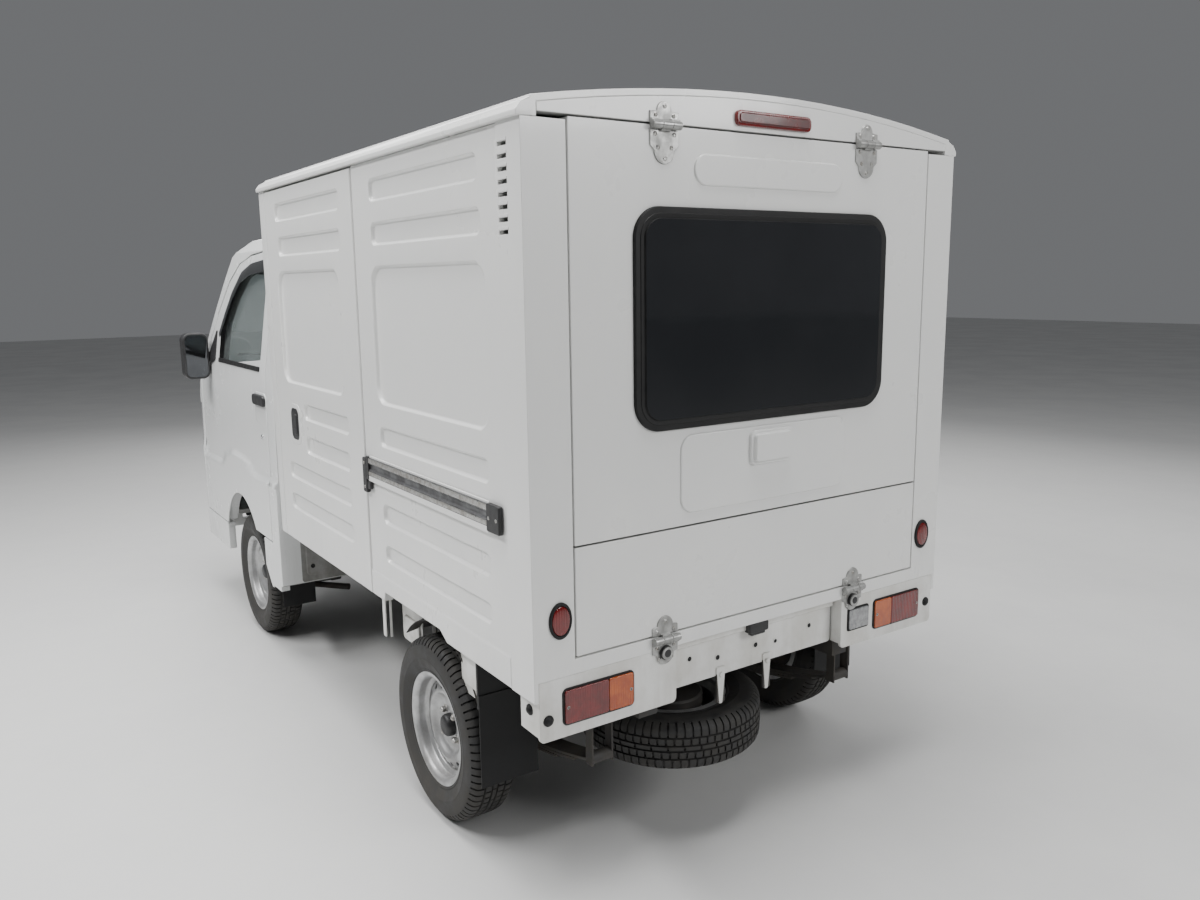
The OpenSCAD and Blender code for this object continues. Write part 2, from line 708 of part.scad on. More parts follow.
module tyre_at(x, y, z) {
    r = tyre_diameter / 2;
    w = tyre_width / 2;
    bead = rim_diameter / 2 - 14;
    translate([x, y, z]) rotate([-90, 0, 0]) rotate_extrude($fn = 96) {
        polygon([[bead + 1, 12 - rim_width / 2], [bead + 22, 4 - rim_width / 2], [r - 62, -w], [r - 34, 1 - w],
            [r - 14, 8 - w], [r - 3, 16 - w], [r, 26 - w], [r, w - 26], [r - 3, w - 16], [r - 14, w - 8],
            [r - 34, w - 1], [r - 62, w], [bead + 22, rim_width / 2 - 4], [bead + 1, rim_width / 2 - 12]]);
    }
}

module spare_wheel() color("#242526") {
    low = 222;
    r = spare_diameter / 2;
    translate([rear_axle_x - 330, 100, low]) {
        difference() {
            cylinder(r = r, h = tyre_width, $fn = 96);
            translate([0, 0, -1]) cylinder(r = rim_diameter / 2 - 14, h = tyre_width + 2);
        }
        difference() {
            cylinder(r = rim_diameter / 2 - 14, h = tyre_width - 20);
            translate([0, 0, -1]) cylinder(r = rim_diameter / 2 - 34, h = tyre_width - 50);
            translate([0, 0, tyre_width - 45]) cylinder(r = rim_diameter / 2 - 34, h = 60);
            translate([0, 0, -1]) cylinder(r = 30, h = tyre_width + 2);
        }
        slab(-40, 40, -8, 8, tyre_width - 45, rail_low + 15 - low);
    }
}

module steering_wheel() color("#2a2b2c") {
    translate(wheel_centre) rotate([0, column_angle - 90, 0]) {
        rotate_extrude() translate([172, 0]) circle(14);
        translate([0, 0, -26]) cylinder(r = 34, h = 34);
        for (a = [90, -90, 180]) rotate([0, 0, a]) translate([28, -14, -8]) cube([134, 28, 8]);
    }
}

// Steering knuckle: upright, spindle, steering arm and the pivots on the steering axis
module knuckle(side) color("#3c3d3e") {
    on_side(side) union() {
        slab(front_axle_x - 34, front_axle_x + 34, kingpin_y - 20, kingpin_y + 20, axle_z - 66, axle_z + 70);
        bar_y(front_axle_x, axle_z, 30, kingpin_y - 10, half_track - 62);
        bar_y(front_axle_x, axle_z, spindle_diameter / 2, kingpin_y, half_track + 30);
        slab(front_axle_x - 120, front_axle_x, kingpin_y - 20, kingpin_y + 4, axle_z - 46, axle_z - 26);
        translate([front_axle_x, kingpin_y, axle_z - 94]) cylinder(r = pivot_radius, h = 188);
        translate([front_axle_x, kingpin_y, axle_z - 69.7]) cylinder(r = 15, h = 143.4);
    }
}

// --- Cab doors ---
module cab_door(side) color("white") {
    skin = 8;
    on_side(side) difference() {
        union() {
            intersection() {
                side_band(0, skin);
                along_y(half_cab - 230, half_cab + 1) door_outline(0);
            }
            intersection() {
                side_band(skin, door_thickness);
                along_y(half_cab - 230, half_cab + 1) door_outline(cabin_skin);
            }
        }
        along_y(0, half_cab + 5) door_window();
    }
}

module door_glass(side) color("#9fb0b2", 0.4) {
    on_side(side) intersection() {
        side_band(20, 20 + glass_thickness);
        along_y(0, half_cab) door_window();
    }
}

module mirror_head(side) color("#1d1e1f") {
    head_x = door_hinge_x - 190;
    on_side(side) {
        along_x(head_x - 40, head_x + 35) round_rect(half_cab - 10, half_cab + 105, 1112, 1329, 34);
        intersection() {
            side_band(-7, 0);
            along_y(half_cab - 60, half_cab + 5) polygon([[head_x - 120, belt_z + 16], [head_x + 75, belt_z - 40],
                [head_x - 120, 1345]]);
        }
        intersection() {
            side_band(-34, 0);
            slab(head_x - 22, head_x + 20, half_cab - 60, half_cab + 5, belt_z + 2, belt_z + 48);
        }
    }
}

// --- Rear doors ---
gate_side = half_opening - panel_gap;
module rear_hatch() color("white") {
    low = split_height + panel_gap / 2;
    high = hatch_pin_z;
    chamfer = 12;
    difference() {
        union() {
            along_y(-gate_side, gate_side) polygon([[rear_face_x, low], [rear_face_x + 12, low],
                [rear_face_x + gate_thickness, low + chamfer], [rear_face_x + gate_thickness, high],
                [rear_face_x, high]]);
            hinge_moving(hatch_pin_z, -87, upper_leaf_width);
        }
        along_x(rear_face_x - 1, rear_face_x + gate_thickness + 1)
            round_rect(-rear_window_width / 2, rear_window_width / 2, rear_window_low, rear_window_high, 75);
        both_sides() slab(rear_face_x - 0.01, rear_face_x + 16, hinge_y - upper_leaf_width / 2 - 4,
            hinge_y + upper_leaf_width / 2 + 4, hatch_pin_z + 20, hatch_pin_z + 30);
    }
}

module hatch_glass() color("#15181b") {
    along_x(rear_face_x - 8, rear_face_x + gate_thickness + 4)
        round_rect(-rear_window_width / 2, rear_window_width / 2, rear_window_low, rear_window_high, 75);
}

module tailgate() color("white") {
    low = cargo_floor_height + panel_gap;
    high = split_height - panel_gap / 2;
    chamfer = 14;
    union() {
        along_y(-gate_side, gate_side) polygon([[rear_face_x, low], [rear_face_x + gate_thickness, low],
            [rear_face_x + gate_thickness, high - chamfer], [rear_face_x + 12, high], [rear_face_x, high]]);
        hinge_moving(gate_pin_z, 60, lower_leaf_width);
    }
}

chassis_frame();
engine();
fuel_tank();
suspension();
rear_axle();
exhaust();
cab_shell();
cab_glass();
front_bumper();
headlamps();
dashboard();
seats();
box_floor();
box_side(1);  // box_side_left
box_side(-1);  // box_side_right
box_front_wall();
box_roof();
rear_frame();
sliding_door(1);  // sliding_door_left
sliding_door(-1);  // sliding_door_right
door_rails();
tail_panel();
rear_lamps();
mudflaps();
spare_wheel();
steering_wheel();
knuckle(1);  // front_knuckle_left
knuckle(-1);  // front_knuckle_right
wheel_at(front_axle_x, 1);  // front_wheel_left
wheel_at(front_axle_x, -1);  // front_wheel_right
wheel_at(rear_axle_x, 1);  // rear_wheel_left
wheel_at(rear_axle_x, -1);  // rear_wheel_right
tyre_at(front_axle_x, half_track, axle_z);  // front_tyre_left
tyre_at(front_axle_x, -half_track, axle_z);  // front_tyre_right
tyre_at(rear_axle_x, half_track, axle_z);  // rear_tyre_left
tyre_at(rear_axle_x, -half_track, axle_z);  // rear_tyre_right
cab_door(1);  // cab_door_left
cab_door(-1);  // cab_door_right
door_glass(1);  // door_glass_left
door_glass(-1);  // door_glass_right
mirror_head(1);  // mirror_left
mirror_head(-1);  // mirror_right
rear_hatch();
hatch_glass();
tailgate();
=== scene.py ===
import bpy, bmesh, json, math
from mathutils import Matrix, Vector


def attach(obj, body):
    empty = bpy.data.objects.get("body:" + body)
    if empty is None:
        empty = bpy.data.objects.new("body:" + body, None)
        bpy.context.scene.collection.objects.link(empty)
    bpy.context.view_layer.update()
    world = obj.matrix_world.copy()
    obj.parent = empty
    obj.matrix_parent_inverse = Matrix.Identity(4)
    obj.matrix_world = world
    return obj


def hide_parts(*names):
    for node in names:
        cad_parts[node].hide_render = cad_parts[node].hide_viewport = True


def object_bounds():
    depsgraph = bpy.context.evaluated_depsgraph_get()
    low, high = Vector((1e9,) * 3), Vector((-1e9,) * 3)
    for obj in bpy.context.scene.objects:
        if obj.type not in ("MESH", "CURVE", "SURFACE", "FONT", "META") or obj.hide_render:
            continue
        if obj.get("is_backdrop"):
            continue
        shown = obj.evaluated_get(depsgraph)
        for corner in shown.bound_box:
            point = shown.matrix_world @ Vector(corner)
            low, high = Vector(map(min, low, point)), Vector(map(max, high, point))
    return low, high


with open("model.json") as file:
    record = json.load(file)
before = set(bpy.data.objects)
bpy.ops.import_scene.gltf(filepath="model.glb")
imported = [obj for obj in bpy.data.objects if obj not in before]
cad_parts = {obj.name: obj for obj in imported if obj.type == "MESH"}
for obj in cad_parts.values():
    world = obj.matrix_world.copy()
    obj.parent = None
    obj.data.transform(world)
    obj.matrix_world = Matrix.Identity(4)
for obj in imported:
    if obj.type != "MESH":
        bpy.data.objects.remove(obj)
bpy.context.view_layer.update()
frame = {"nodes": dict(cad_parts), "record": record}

scene = bpy.context.scene
tau = 2 * math.pi
sides = ((1, "left"), (-1, "right"))

print("camera, floor and lights")
view = {"place": (-3.5118, 1.7763, 1.5491), "yaw": -0.5946, "pitch": -0.1738, "roll": -0.0134, "lens": 28.94}


def aimCamera(v):
    ahead = Vector((math.cos(v["yaw"]) * math.cos(v["pitch"]), math.sin(v["yaw"]) * math.cos(v["pitch"]),
                    math.sin(v["pitch"])))
    right = Vector((math.sin(v["yaw"]), -math.cos(v["yaw"]), 0))
    up = right.cross(ahead)
    rolledRight = right * math.cos(v["roll"]) + up * math.sin(v["roll"])
    rolledUp = up * math.cos(v["roll"]) - right * math.sin(v["roll"])
    turn = Matrix((rolledRight, rolledUp, -ahead)).transposed().to_4x4()
    data = bpy.data.cameras.new("camera")
    data.lens = v["lens"]
    data.sensor_width = 36
    data.clip_end = 200
    camera = bpy.data.objects.new("camera", data)
    camera.matrix_world = Matrix.Translation(v["place"]) @ turn
    scene.collection.objects.link(camera)
    scene.camera = camera


aimCamera(view)


def softLight(name, place, target, size, power):
    data = bpy.data.lights.new(name, "AREA")
    data.shape = "RECTANGLE"
    data.size, data.size_y = size
    data.energy = power
    lamp = bpy.data.objects.new(name, data)
    lamp.location = place
    lamp.rotation_euler = (Vector(target) - Vector(place)).to_track_quat("-Z", "Y").to_euler()
    scene.collection.objects.link(lamp)


softLight("overhead", (-0.6, 0.8, 5.2), (-0.3, 0, 0.8), (5.0, 2.2), 430)
softLight("leftPanel", (0.4, 3.9, 5.0), (-0.3, 0.4, 0.9), (4.4, 0.6), 290)
softLight("rearPanel", (-6.2, -2.6, 3.6), (-1.4, 0, 1.0), (3.0, 1.8), 170)
softLight("frontPanel", (5.6, -2.4, 3.4), (0.5, 0, 0.9), (4.0, 3.0), 120)
softLight("rightPanel", (0.5, -6.0, 3.6), (0, 0, 0.9), (5.0, 1.6), 90)

world = bpy.data.worlds.new("studio")
scene.world = world
world.use_nodes = True
world.node_tree.nodes["Background"].inputs["Color"].default_value = (0.8, 0.82, 0.85, 1)
world.node_tree.nodes["Background"].inputs["Strength"].default_value = 0.2


# shader groups that several materials share
def newGroup(name, ins, outs):
    group = bpy.data.node_groups.new(name, "ShaderNodeTree")
    for label, kind, value in ins:
        socket = group.interface.new_socket(name=label, in_out="INPUT", socket_type=kind)
        if value is not None:
            socket.default_value = value
    for label, kind in outs:
        group.interface.new_socket(name=label, in_out="OUTPUT", socket_type=kind)
    return group, group.nodes.new("NodeGroupInput"), group.nodes.new("NodeGroupOutput")


def addNode(tree, kind, out, inputs, **settings):
    # each input is a value or the socket that it comes from
    made = tree.nodes.new("ShaderNode" + kind)
    for key, value in settings.items():
        setattr(made, key, value)
    for key, value in inputs.items():
        if isinstance(value, bpy.types.NodeSocket):
            tree.links.new(value, made.inputs[key])
        elif value is not None:
            made.inputs[key].default_value = value
    return made if out is None else made.outputs[out]


def mathNode(tree, kind, a, b=None, clamp=False):
    return addNode(tree, "Math", 0, {0: a, 1: b}, operation=kind, use_clamp=clamp)


def noiseNode(tree, vector, size, detail=4.0, rough=0.55):
    return addNode(tree, "TexNoise", "Fac", {"Detail": detail, "Roughness": rough, "Scale": size, "Vector": vector})


def waveNode(tree, vector, axis, size):
    return addNode(tree, "TexWave", "Fac", {"Scale": size, "Vector": vector}, bands_direction=axis)


def rampNode(tree, value, low, high):
    return addNode(tree, "MapRange", "Result", {"From Min": low, "From Max": high, "Value": value},
                   interpolation_type="SMOOTHSTEP")


def spread(tree, value, limits):
    return addNode(tree, "MapRange", "Result", {"To Min": limits[0], "To Max": limits[1], "Value": value})


def mixColour(tree, mask, a, b):
    a, b = ((*c, 1) if isinstance(c, tuple) else c for c in (a, b))
    return addNode(tree, "Mix", 2, {"Factor": mask, 6: a, 7: b}, data_type="RGBA")


def placeGroup(tree, group, place, values):
    return addNode(tree, "Group", None, {"Place": place, **values}, node_tree=group).outputs


def buildMottle():
    group, gin, gout = newGroup("mottle", [("Place", "NodeSocketVector", None), ("Size", "NodeSocketFloat", 6.0)],
                                [("Mask", "NodeSocketFloat"), ("Fine", "NodeSocketFloat")])
    broad = noiseNode(group, gin.outputs["Place"], gin.outputs["Size"], 5.0, 0.6)
    fineSize = mathNode(group, "MULTIPLY", gin.outputs["Size"], 28.0)
    fine = noiseNode(group, gin.outputs["Place"], fineSize, 3.0, 0.5)
    group.links.new(rampNode(group, broad, 0.32, 0.68), gout.inputs["Mask"])
    group.links.new(fine, gout.inputs["Fine"])
    return group


def buildGrime():
    # road dirt that thins out with height, with runs that hang downwards
    group, gin, gout = newGroup("grime", [("Place", "NodeSocketVector", None), ("Top", "NodeSocketFloat", 0.9),
                                          ("Amount", "NodeSocketFloat", 0.5)], [("Mask", "NodeSocketFloat")])
    up = addNode(group, "SeparateXYZ", "Z", {0: gin.outputs["Place"]})
    height = mathNode(group, "DIVIDE", up, gin.outputs["Top"])
    low = mathNode(group, "SUBTRACT", 1.0, height, True)
    stretched = addNode(group, "Mapping", "Vector", {"Scale": (1.0, 1.0, 0.12), "Vector": gin.outputs["Place"]})
    runs = rampNode(group, noiseNode(group, stretched, 34.0, 6.0, 0.65), 0.42, 0.78)
    cloud = rampNode(group, noiseNode(group, gin.outputs["Place"], 5.0, 6.0, 0.7), 0.3, 0.75)
    mixed = mathNode(group, "MULTIPLY", mathNode(group, "ADD", runs, cloud), mathNode(group, "POWER", low, 1.6))
    group.links.new(mathNode(group, "MULTIPLY", mixed, gin.outputs["Amount"], True), gout.inputs["Mask"])
    return group


def buildEdgeWear():
    # light scuffs where a broad and a fine noise peak together
    group, gin, gout = newGroup("scuffs", [("Place", "NodeSocketVector", None), ("Size", "NodeSocketFloat", 20.0),
                                           ("Amount", "NodeSocketFloat", 0.3)], [("Mask", "NodeSocketFloat")])
    patches = rampNode(group, noiseNode(group, gin.outputs["Place"], gin.outputs["Size"], 2.0), 0.5, 0.75)
    specks = rampNode(group, noiseNode(group, gin.outputs["Place"],
                                       mathNode(group, "MULTIPLY", gin.outputs["Size"], 9.0), 8.0, 0.8), 0.5, 0.7)
    both = mathNode(group, "MULTIPLY", patches, specks)
    group.links.new(mathNode(group, "MULTIPLY", both, gin.outputs["Amount"], True), gout.inputs["Mask"])
    return group


mottle, grime, scuffs = buildMottle(), buildGrime(), buildEdgeWear()


# base colour, second colour, roughness range, noise size, bump strength, and what else the finish has
# (dirt is its colour, the height where it ends and its amount)
finishes = {
    "boxWhite": ((0.8, 0.8, 0.785), (0.765, 0.768, 0.757), (0.26, 0.38), 2.2, 0.012,
                 {"grain": True, "coat": 0.5, "dirt": ((0.2, 0.17, 0.13), 0.95, 0.2)}),
    "cabWhite": ((0.78, 0.79, 0.785), (0.745, 0.757, 0.752), (0.2, 0.32), 2.2, 0.01,
                 {"grain": True, "coat": 0.6, "dirt": ((0.2, 0.17, 0.13), 0.75, 0.32)}),
    "tailWhite": ((0.79, 0.79, 0.77), (0.66, 0.65, 0.61), (0.3, 0.5), 9.0, 0.03,
                  {"coat": 0.3, "dirt": ((0.17, 0.13, 0.09), 0.95, 0.42)}),
    "framePaint": ((0.022, 0.022, 0.023), (0.05, 0.046, 0.04), (0.5, 0.8), 14.0, 0.12,
                   {"dirt": ((0.12, 0.1, 0.08), 0.8, 0.5)}),
    # a plain grey, darker than the cab's white, for the cab's downward faces, inner floor and the panel behind the
    # cab
    "cabLowGrey": ((0.3, 0.3, 0.29), (0.2, 0.2, 0.19), (0.45, 0.7), 10.0, 0.06,
                   {"dirt": ((0.12, 0.1, 0.08), 0.8, 0.5)}),
    "castMetal": ((0.16, 0.16, 0.155), (0.07, 0.065, 0.06), (0.5, 0.75), 18.0, 0.3,
                  {"metal": 0.7, "dirt": ((0.1, 0.08, 0.06), 0.7, 0.6)}),
    "exhaustSteel": ((0.36, 0.3, 0.24), (0.16, 0.09, 0.05), (0.45, 0.75), 16.0, 0.2, {"metal": 0.8}),
    "rubber": ((0.009, 0.009, 0.0095), (0.017, 0.017, 0.017), (0.5, 0.7), 30.0, 0.1, {"gloss": 0.3}),
    "tyreRubber": ((0.017, 0.017, 0.0175), (0.036, 0.034, 0.031), (0.58, 0.82), 22.0, 0.15,
                   {"dirt": ((0.11, 0.1, 0.085), 0.42, 0.3)}),
    "wheelSilver": ((0.52, 0.525, 0.53), (0.4, 0.4, 0.4), (0.28, 0.45), 26.0, 0.04,
                    {"metal": 0.75, "dirt": ((0.13, 0.11, 0.09), 0.5, 0.42)}),
    "zinc": ((0.55, 0.55, 0.54), (0.36, 0.34, 0.31), (0.26, 0.5), 60.0, 0.08, {"metal": 0.9}),
    "hingeSteel": ((0.42, 0.42, 0.41), (0.27, 0.27, 0.26), (0.28, 0.48), 45.0, 0.06, {"metal": 0.6, "coat": 0.2}),
    "railSteel": ((0.16, 0.163, 0.168), (0.09, 0.09, 0.092), (0.3, 0.5), 20.0, 0.05, {"metal": 0.7}),
    "chrome": ((0.78, 0.79, 0.8), (0.6, 0.6, 0.6), (0.06, 0.16), 40.0, 0.01, {"metal": 1.0}),
    "blackPlastic": ((0.014, 0.014, 0.015), (0.026, 0.026, 0.027), (0.38, 0.55), 40.0, 0.12, {}),
    "smokePlastic": ((0.01, 0.0105, 0.011), (0.016, 0.017, 0.018), (0.1, 0.2), 12.0, 0.01, {"coat": 0.5}),
    "dashPlastic": ((0.1, 0.105, 0.11), (0.075, 0.078, 0.08), (0.55, 0.75), 60.0, 0.25, {}),
    "darkGlass": ((0.008, 0.009, 0.011), (0.011, 0.012, 0.014), (0.03, 0.08), 3.0, 0.0, {"coat": 0.8}),
    "mirrorGlass": ((0.16, 0.165, 0.175), (0.12, 0.125, 0.135), (0.02, 0.06), 6.0, 0.01, {"metal": 1.0}),
    "redLens": ((0.17, 0.0015, 0.0015), (0.1, 0.001, 0.001), (0.1, 0.18), 30.0, 0.02, {"coat": 0.6, "ribs": 45.0}),
    "stopRed": ((0.1, 0.001, 0.001), (0.05, 0.001, 0.001), (0.25, 0.35), 30.0, 0.02, {"coat": 0.3}),
    "amberLens": ((0.46, 0.085, 0.002), (0.34, 0.05, 0.002), (0.1, 0.18), 30.0, 0.02, {"coat": 0.6, "ribs": 45.0}),
    "clearLens": ((0.6, 0.61, 0.62), (0.52, 0.53, 0.54), (0.06, 0.14), 5.0, 0.02,
                  {"coat": 1.0, "metal": 0.55, "ribs": 25.0}),
    "frostLens": ((0.34, 0.345, 0.35), (0.2, 0.205, 0.21), (0.08, 0.2), 60.0, 0.02,
                  {"coat": 0.7, "metal": 0.3, "ribs": 45.0}),
    "floorPaint": ((0.5, 0.51, 0.5), (0.36, 0.36, 0.35), (0.4, 0.65), 6.0, 0.08, {}),
    "stageFloor": ((0.62, 0.62, 0.61), (0.58, 0.58, 0.575), (0.5, 0.65), 1.2, 0.02, {}),
}


def newMaterial(name):
    made = bpy.data.materials.new(name)
    made.use_nodes = True
    tree = made.node_tree
    return made, tree, tree.nodes["Principled BSDF"], tree.nodes.new("ShaderNodeTexCoord").outputs["Object"]


def addBump(tree, shader, height, strength, distance):
    normal = addNode(tree, "Bump", "Normal", {"Strength": strength, "Distance": distance, "Height": height})
    tree.links.new(normal, shader.inputs["Normal"])


shine = {"dirtRough": 0.5, "wear": 0.12, "coatRough": 0.08, "grain": 420.0, "ribBump": 0.35, "depth": 0.002}


def makeFinish(name, base, dark, rough, size, bump, more):
    made, tree, shader, place = newMaterial(name)
    mix = placeGroup(tree, mottle, place, {"Size": size})
    colour = mixColour(tree, mix["Mask"], base, dark)
    roughness = spread(tree, mix["Mask"], rough)
    if "dirt" in more:
        tint, top, amount = more["dirt"]
        dirt = placeGroup(tree, grime, place, {"Top": top, "Amount": amount})["Mask"]
        colour = mixColour(tree, dirt, colour, tint)
        roughness = mathNode(tree, "ADD", roughness, mathNode(tree, "MULTIPLY", dirt, shine["dirtRough"]), True)
    wear = placeGroup(tree, scuffs, place, {"Size": size * 2, "Amount": shine["wear"]})
    roughness = mathNode(tree, "ADD", roughness, wear["Mask"], True)
    tree.links.new(colour, shader.inputs["Base Color"])
    tree.links.new(roughness, shader.inputs["Roughness"])
    shader.inputs["Metallic"].default_value = more.get("metal", 0.0)
    shader.inputs["Coat Weight"].default_value = more.get("coat", 0.0)
    shader.inputs["Coat Roughness"].default_value = shine["coatRough"]
    shader.inputs["Specular IOR Level"].default_value = more.get("gloss", 0.5)
    if "ribs" in more:
        addBump(tree, shader, waveNode(tree, place, "Y", more["ribs"]), shine["ribBump"], shine["depth"])
    elif "grain" in more:
        addBump(tree, shader, noiseNode(tree, place, shine["grain"], 2.0), bump, shine["depth"])
    else:
        addBump(tree, shader, mix["Fine"], bump, shine["depth"])
    return made


materials = {name: makeFinish(name, *f) for name, f in finishes.items()}
clear = {"size": 3.0, "base": (0.78, 0.84, 0.83), "dark": (0.72, 0.79, 0.78), "rough": (0.0, 0.03), "through": 0.92,
         "bend": 1.12}
fabric = {"size": 12.0, "base": (0.085, 0.09, 0.098), "dark": (0.06, 0.063, 0.07), "rough": (0.78, 0.95),
          "weave": 110.0, "bump": 0.5, "depth": 0.0015, "sheen": 0.3}


def plainMix(name, f):
    made, tree, shader, place = newMaterial(name)
    mix = placeGroup(tree, mottle, place, {"Size": f["size"]})
    tree.links.new(mixColour(tree, mix["Mask"], f["base"], f["dark"]), shader.inputs["Base Color"])
    tree.links.new(spread(tree, mix["Fine"], f["rough"]), shader.inputs["Roughness"])
    materials[name] = made
    return tree, shader, place


def makeGlass():
    tree, shader, place = plainMix("clearGlass", clear)
    shader.inputs["Transmission Weight"].default_value = clear["through"]
    shader.inputs["IOR"].default_value = clear["bend"]


def makeFabric():
    tree, shader, place = plainMix("seatFabric", fabric)
    weave = waveNode(tree, place, "X", fabric["weave"])
    for axis in "YZ":
        weave = mathNode(tree, "MULTIPLY", weave, waveNode(tree, place, axis, fabric["weave"]))
    addBump(tree, shader, weave, fabric["bump"], fabric["depth"])
    shader.inputs["Sheen Weight"].default_value = fabric["sheen"]


makeGlass()
makeFabric()

print("building helpers")
painted = set()


def tinted(bm, index):
    # gives every face made since the last call a material number
    fresh = [f for f in bm.faces if f not in painted]
    for f in fresh:
        f.material_index = index
    painted.update(fresh)


def addMesh(name, bm, finish, angle=35, stands=(), body="truck"):
    bmesh.ops.remove_doubles(bm, verts=bm.verts, dist=1e-6)
    bmesh.ops.recalc_face_normals(bm, faces=bm.faces)
    mesh = bpy.data.meshes.new(name)
    bm.to_mesh(mesh)
    bm.free()
    painted.clear()
    mesh.shade_smooth()
    mesh.set_sharp_from_angle(angle=math.radians(angle))
    for one in finish if isinstance(finish, (list, tuple)) else [finish]:
        mesh.materials.append(materials[one])
    piece = bpy.data.objects.new(name, mesh)
    scene.collection.objects.link(piece)
    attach(piece, body)
    shading = piece.modifiers.new("flatFaces", "WEIGHTED_NORMAL")
    shading.keep_sharp = True
    if stands:
        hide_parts(*stands)
    return piece


def nodeMesh(node):
    bm = bmesh.new()
    bm.from_mesh(frame["nodes"][node].data)
    bmesh.ops.remove_doubles(bm, verts=bm.verts, dist=1e-5)
    bmesh.ops.dissolve_limit(bm, angle_limit=math.radians(0.6), verts=bm.verts, edges=bm.edges)
    return bm


def bevelSharp(bm, width, segments=2, angle=28):
    edges = [e for e in bm.edges if len(e.link_faces) == 2 and e.calc_face_angle(0) > math.radians(angle)]
    bmesh.ops.bevel(bm, geom=edges, offset=width, offset_type="OFFSET", segments=segments, affect="EDGES",
                    profile=0.5, material=-1, clamp_overlap=False)


def softCopy(node, name, finish, width=0.002, segments=2, angle=28, behind=None, body="truck"):
    # the faces behind the plane X = behind take the second finish
    bm = nodeMesh(node)
    bevelSharp(bm, width, segments, angle)
    for f in bm.faces:
        if behind is not None and f.calc_center_median().x < behind:
            f.material_index = 1
    addMesh(name, bm, finish, 32, (node,), body)


def grid(bm, across, up):
    return bmesh.ops.create_grid(bm, x_segments=across, y_segments=up, size=0.5)["verts"]


def beam(bm, low, high, edge=0.004, segments=2):
    # a box with rounded edges between two opposite corners
    centre = (Vector(low) + Vector(high)) / 2
    size = Vector(high) - Vector(low)
    place = Matrix.Translation(centre) @ Matrix.Diagonal((*size, 1))
    verts = bmesh.ops.create_cube(bm, size=1, matrix=place)["verts"]
    bmesh.ops.bevel(bm, geom=list({e for v in verts for e in v.link_edges}), offset=edge, segments=segments,
                    affect="EDGES", profile=0.5, material=-1)


def sideBeam(bm, side, x, y, z, edge=0.004, segments=2):
    # the same box between its limits in x, y and z, mirrored for the right side
    near, far = sorted((side * y[0], side * y[1]))
    beam(bm, (x[0], near, z[0]), (x[1], far, z[1]), edge, segments)


def newRod(bm, start, end, radius, radiusEnd, steps):
    start, end = Vector(start), Vector(end)
    along = end - start
    turn = along.to_track_quat("Z", "Y").to_matrix().to_4x4()
    bmesh.ops.create_cone(bm, cap_ends=True, segments=steps, radius1=radius, radius2=radiusEnd or radius,
                          depth=along.length, matrix=Matrix.Translation((start + end) / 2) @ turn)


def shift(u, v):
    return Matrix.Translation((u, v, 0))


def onRear(x):
    # local X to the left, local Y up, local Z backwards out of the rear face
    return Matrix(((0, 0, -1, x), (1, 0, 0, 0), (0, 1, 0, 0), (0, 0, 0, 1)))


def onSide(side, y):
    # local X forwards, local Y up, local Z out of the side
    return Matrix(((1, 0, 0, 0), (0, 0, side, side * y), (0, 1, 0, 0), (0, 0, 0, 1)))


def roundPrism(bm, place, low, high, corner, depth, edge, steps=6, rounds=2, base=0.0):
    # a rounded rectangle in local X and Y that stands up to local Z = depth; gives back its top face
    old = set(bm.verts)
    made = grid(bm, 1, 1)
    for v in made:
        v.co = (low[0] if v.co.x < 0 else high[0], low[1] if v.co.y < 0 else high[1], base)
    if corner:
        room = min(corner, (high[0] - low[0]) / 2.02, (high[1] - low[1]) / 2.02)
        bmesh.ops.bevel(bm, geom=made, offset=room, offset_type="OFFSET", segments=steps, affect="VERTICES",
                        profile=0.5, material=-1)
    flat = [f for f in bm.faces if not old.intersection(f.verts)]
    lifted = bmesh.ops.extrude_face_region(bm, geom=flat)["geom"]
    bmesh.ops.translate(bm, vec=(0, 0, depth - base), verts=[g for g in lifted if isinstance(g, bmesh.types.BMVert)])
    top = [g for g in lifted if isinstance(g, bmesh.types.BMFace)][0]
    if edge:
        rim = list(top.edges)
        bmesh.ops.bevel(bm, geom=rim, offset=edge, offset_type="OFFSET", segments=rounds, affect="EDGES",
                        profile=0.5, material=-1, clamp_overlap=True)
    new = [v for v in bm.verts if v not in old]
    top = max((f for f in bm.faces if not old.intersection(f.verts)), key=lambda f: f.calc_area()
              if abs(f.calc_center_median().z - depth) < 1e-5 else 0)
    bmesh.ops.transform(bm, matrix=place, verts=new)
    return top


def inset(bm, face, width, lift=0):
    bmesh.ops.inset_region(bm, faces=[face], thickness=width, depth=lift, use_even_offset=True)


def lathe(bm, outline, place=Matrix(), steps=96):
    # outline holds (radius, height) pairs, turned about local Z
    old = set(bm.verts)
    verts = [bm.verts.new((r, 0, h)) for r, h in outline]
    edges = [bm.edges.new(pair) for pair in zip(verts, verts[1:])]
    bmesh.ops.spin(bm, geom=verts + edges, cent=(0, 0, 0), axis=(0, 0, 1), angle=tau, steps=steps, use_merge=True)
    new = [v for v in bm.verts if v not in old]
    bmesh.ops.remove_doubles(bm, verts=new, dist=1e-6)
    new = [v for v in bm.verts if v not in old]
    bmesh.ops.transform(bm, matrix=place, verts=new)
    return new


def prisms(bm, place, *rows):
    for row in rows:
        roundPrism(bm, place, *row)


def lathes(bm, outline, place, spots, steps):
    for u, v in spots:
        lathe(bm, outline, place @ shift(u, v), steps)


def ease(t):
    t = max(0.0, min(1.0, t))
    return t * t * (3 - 2 * t)


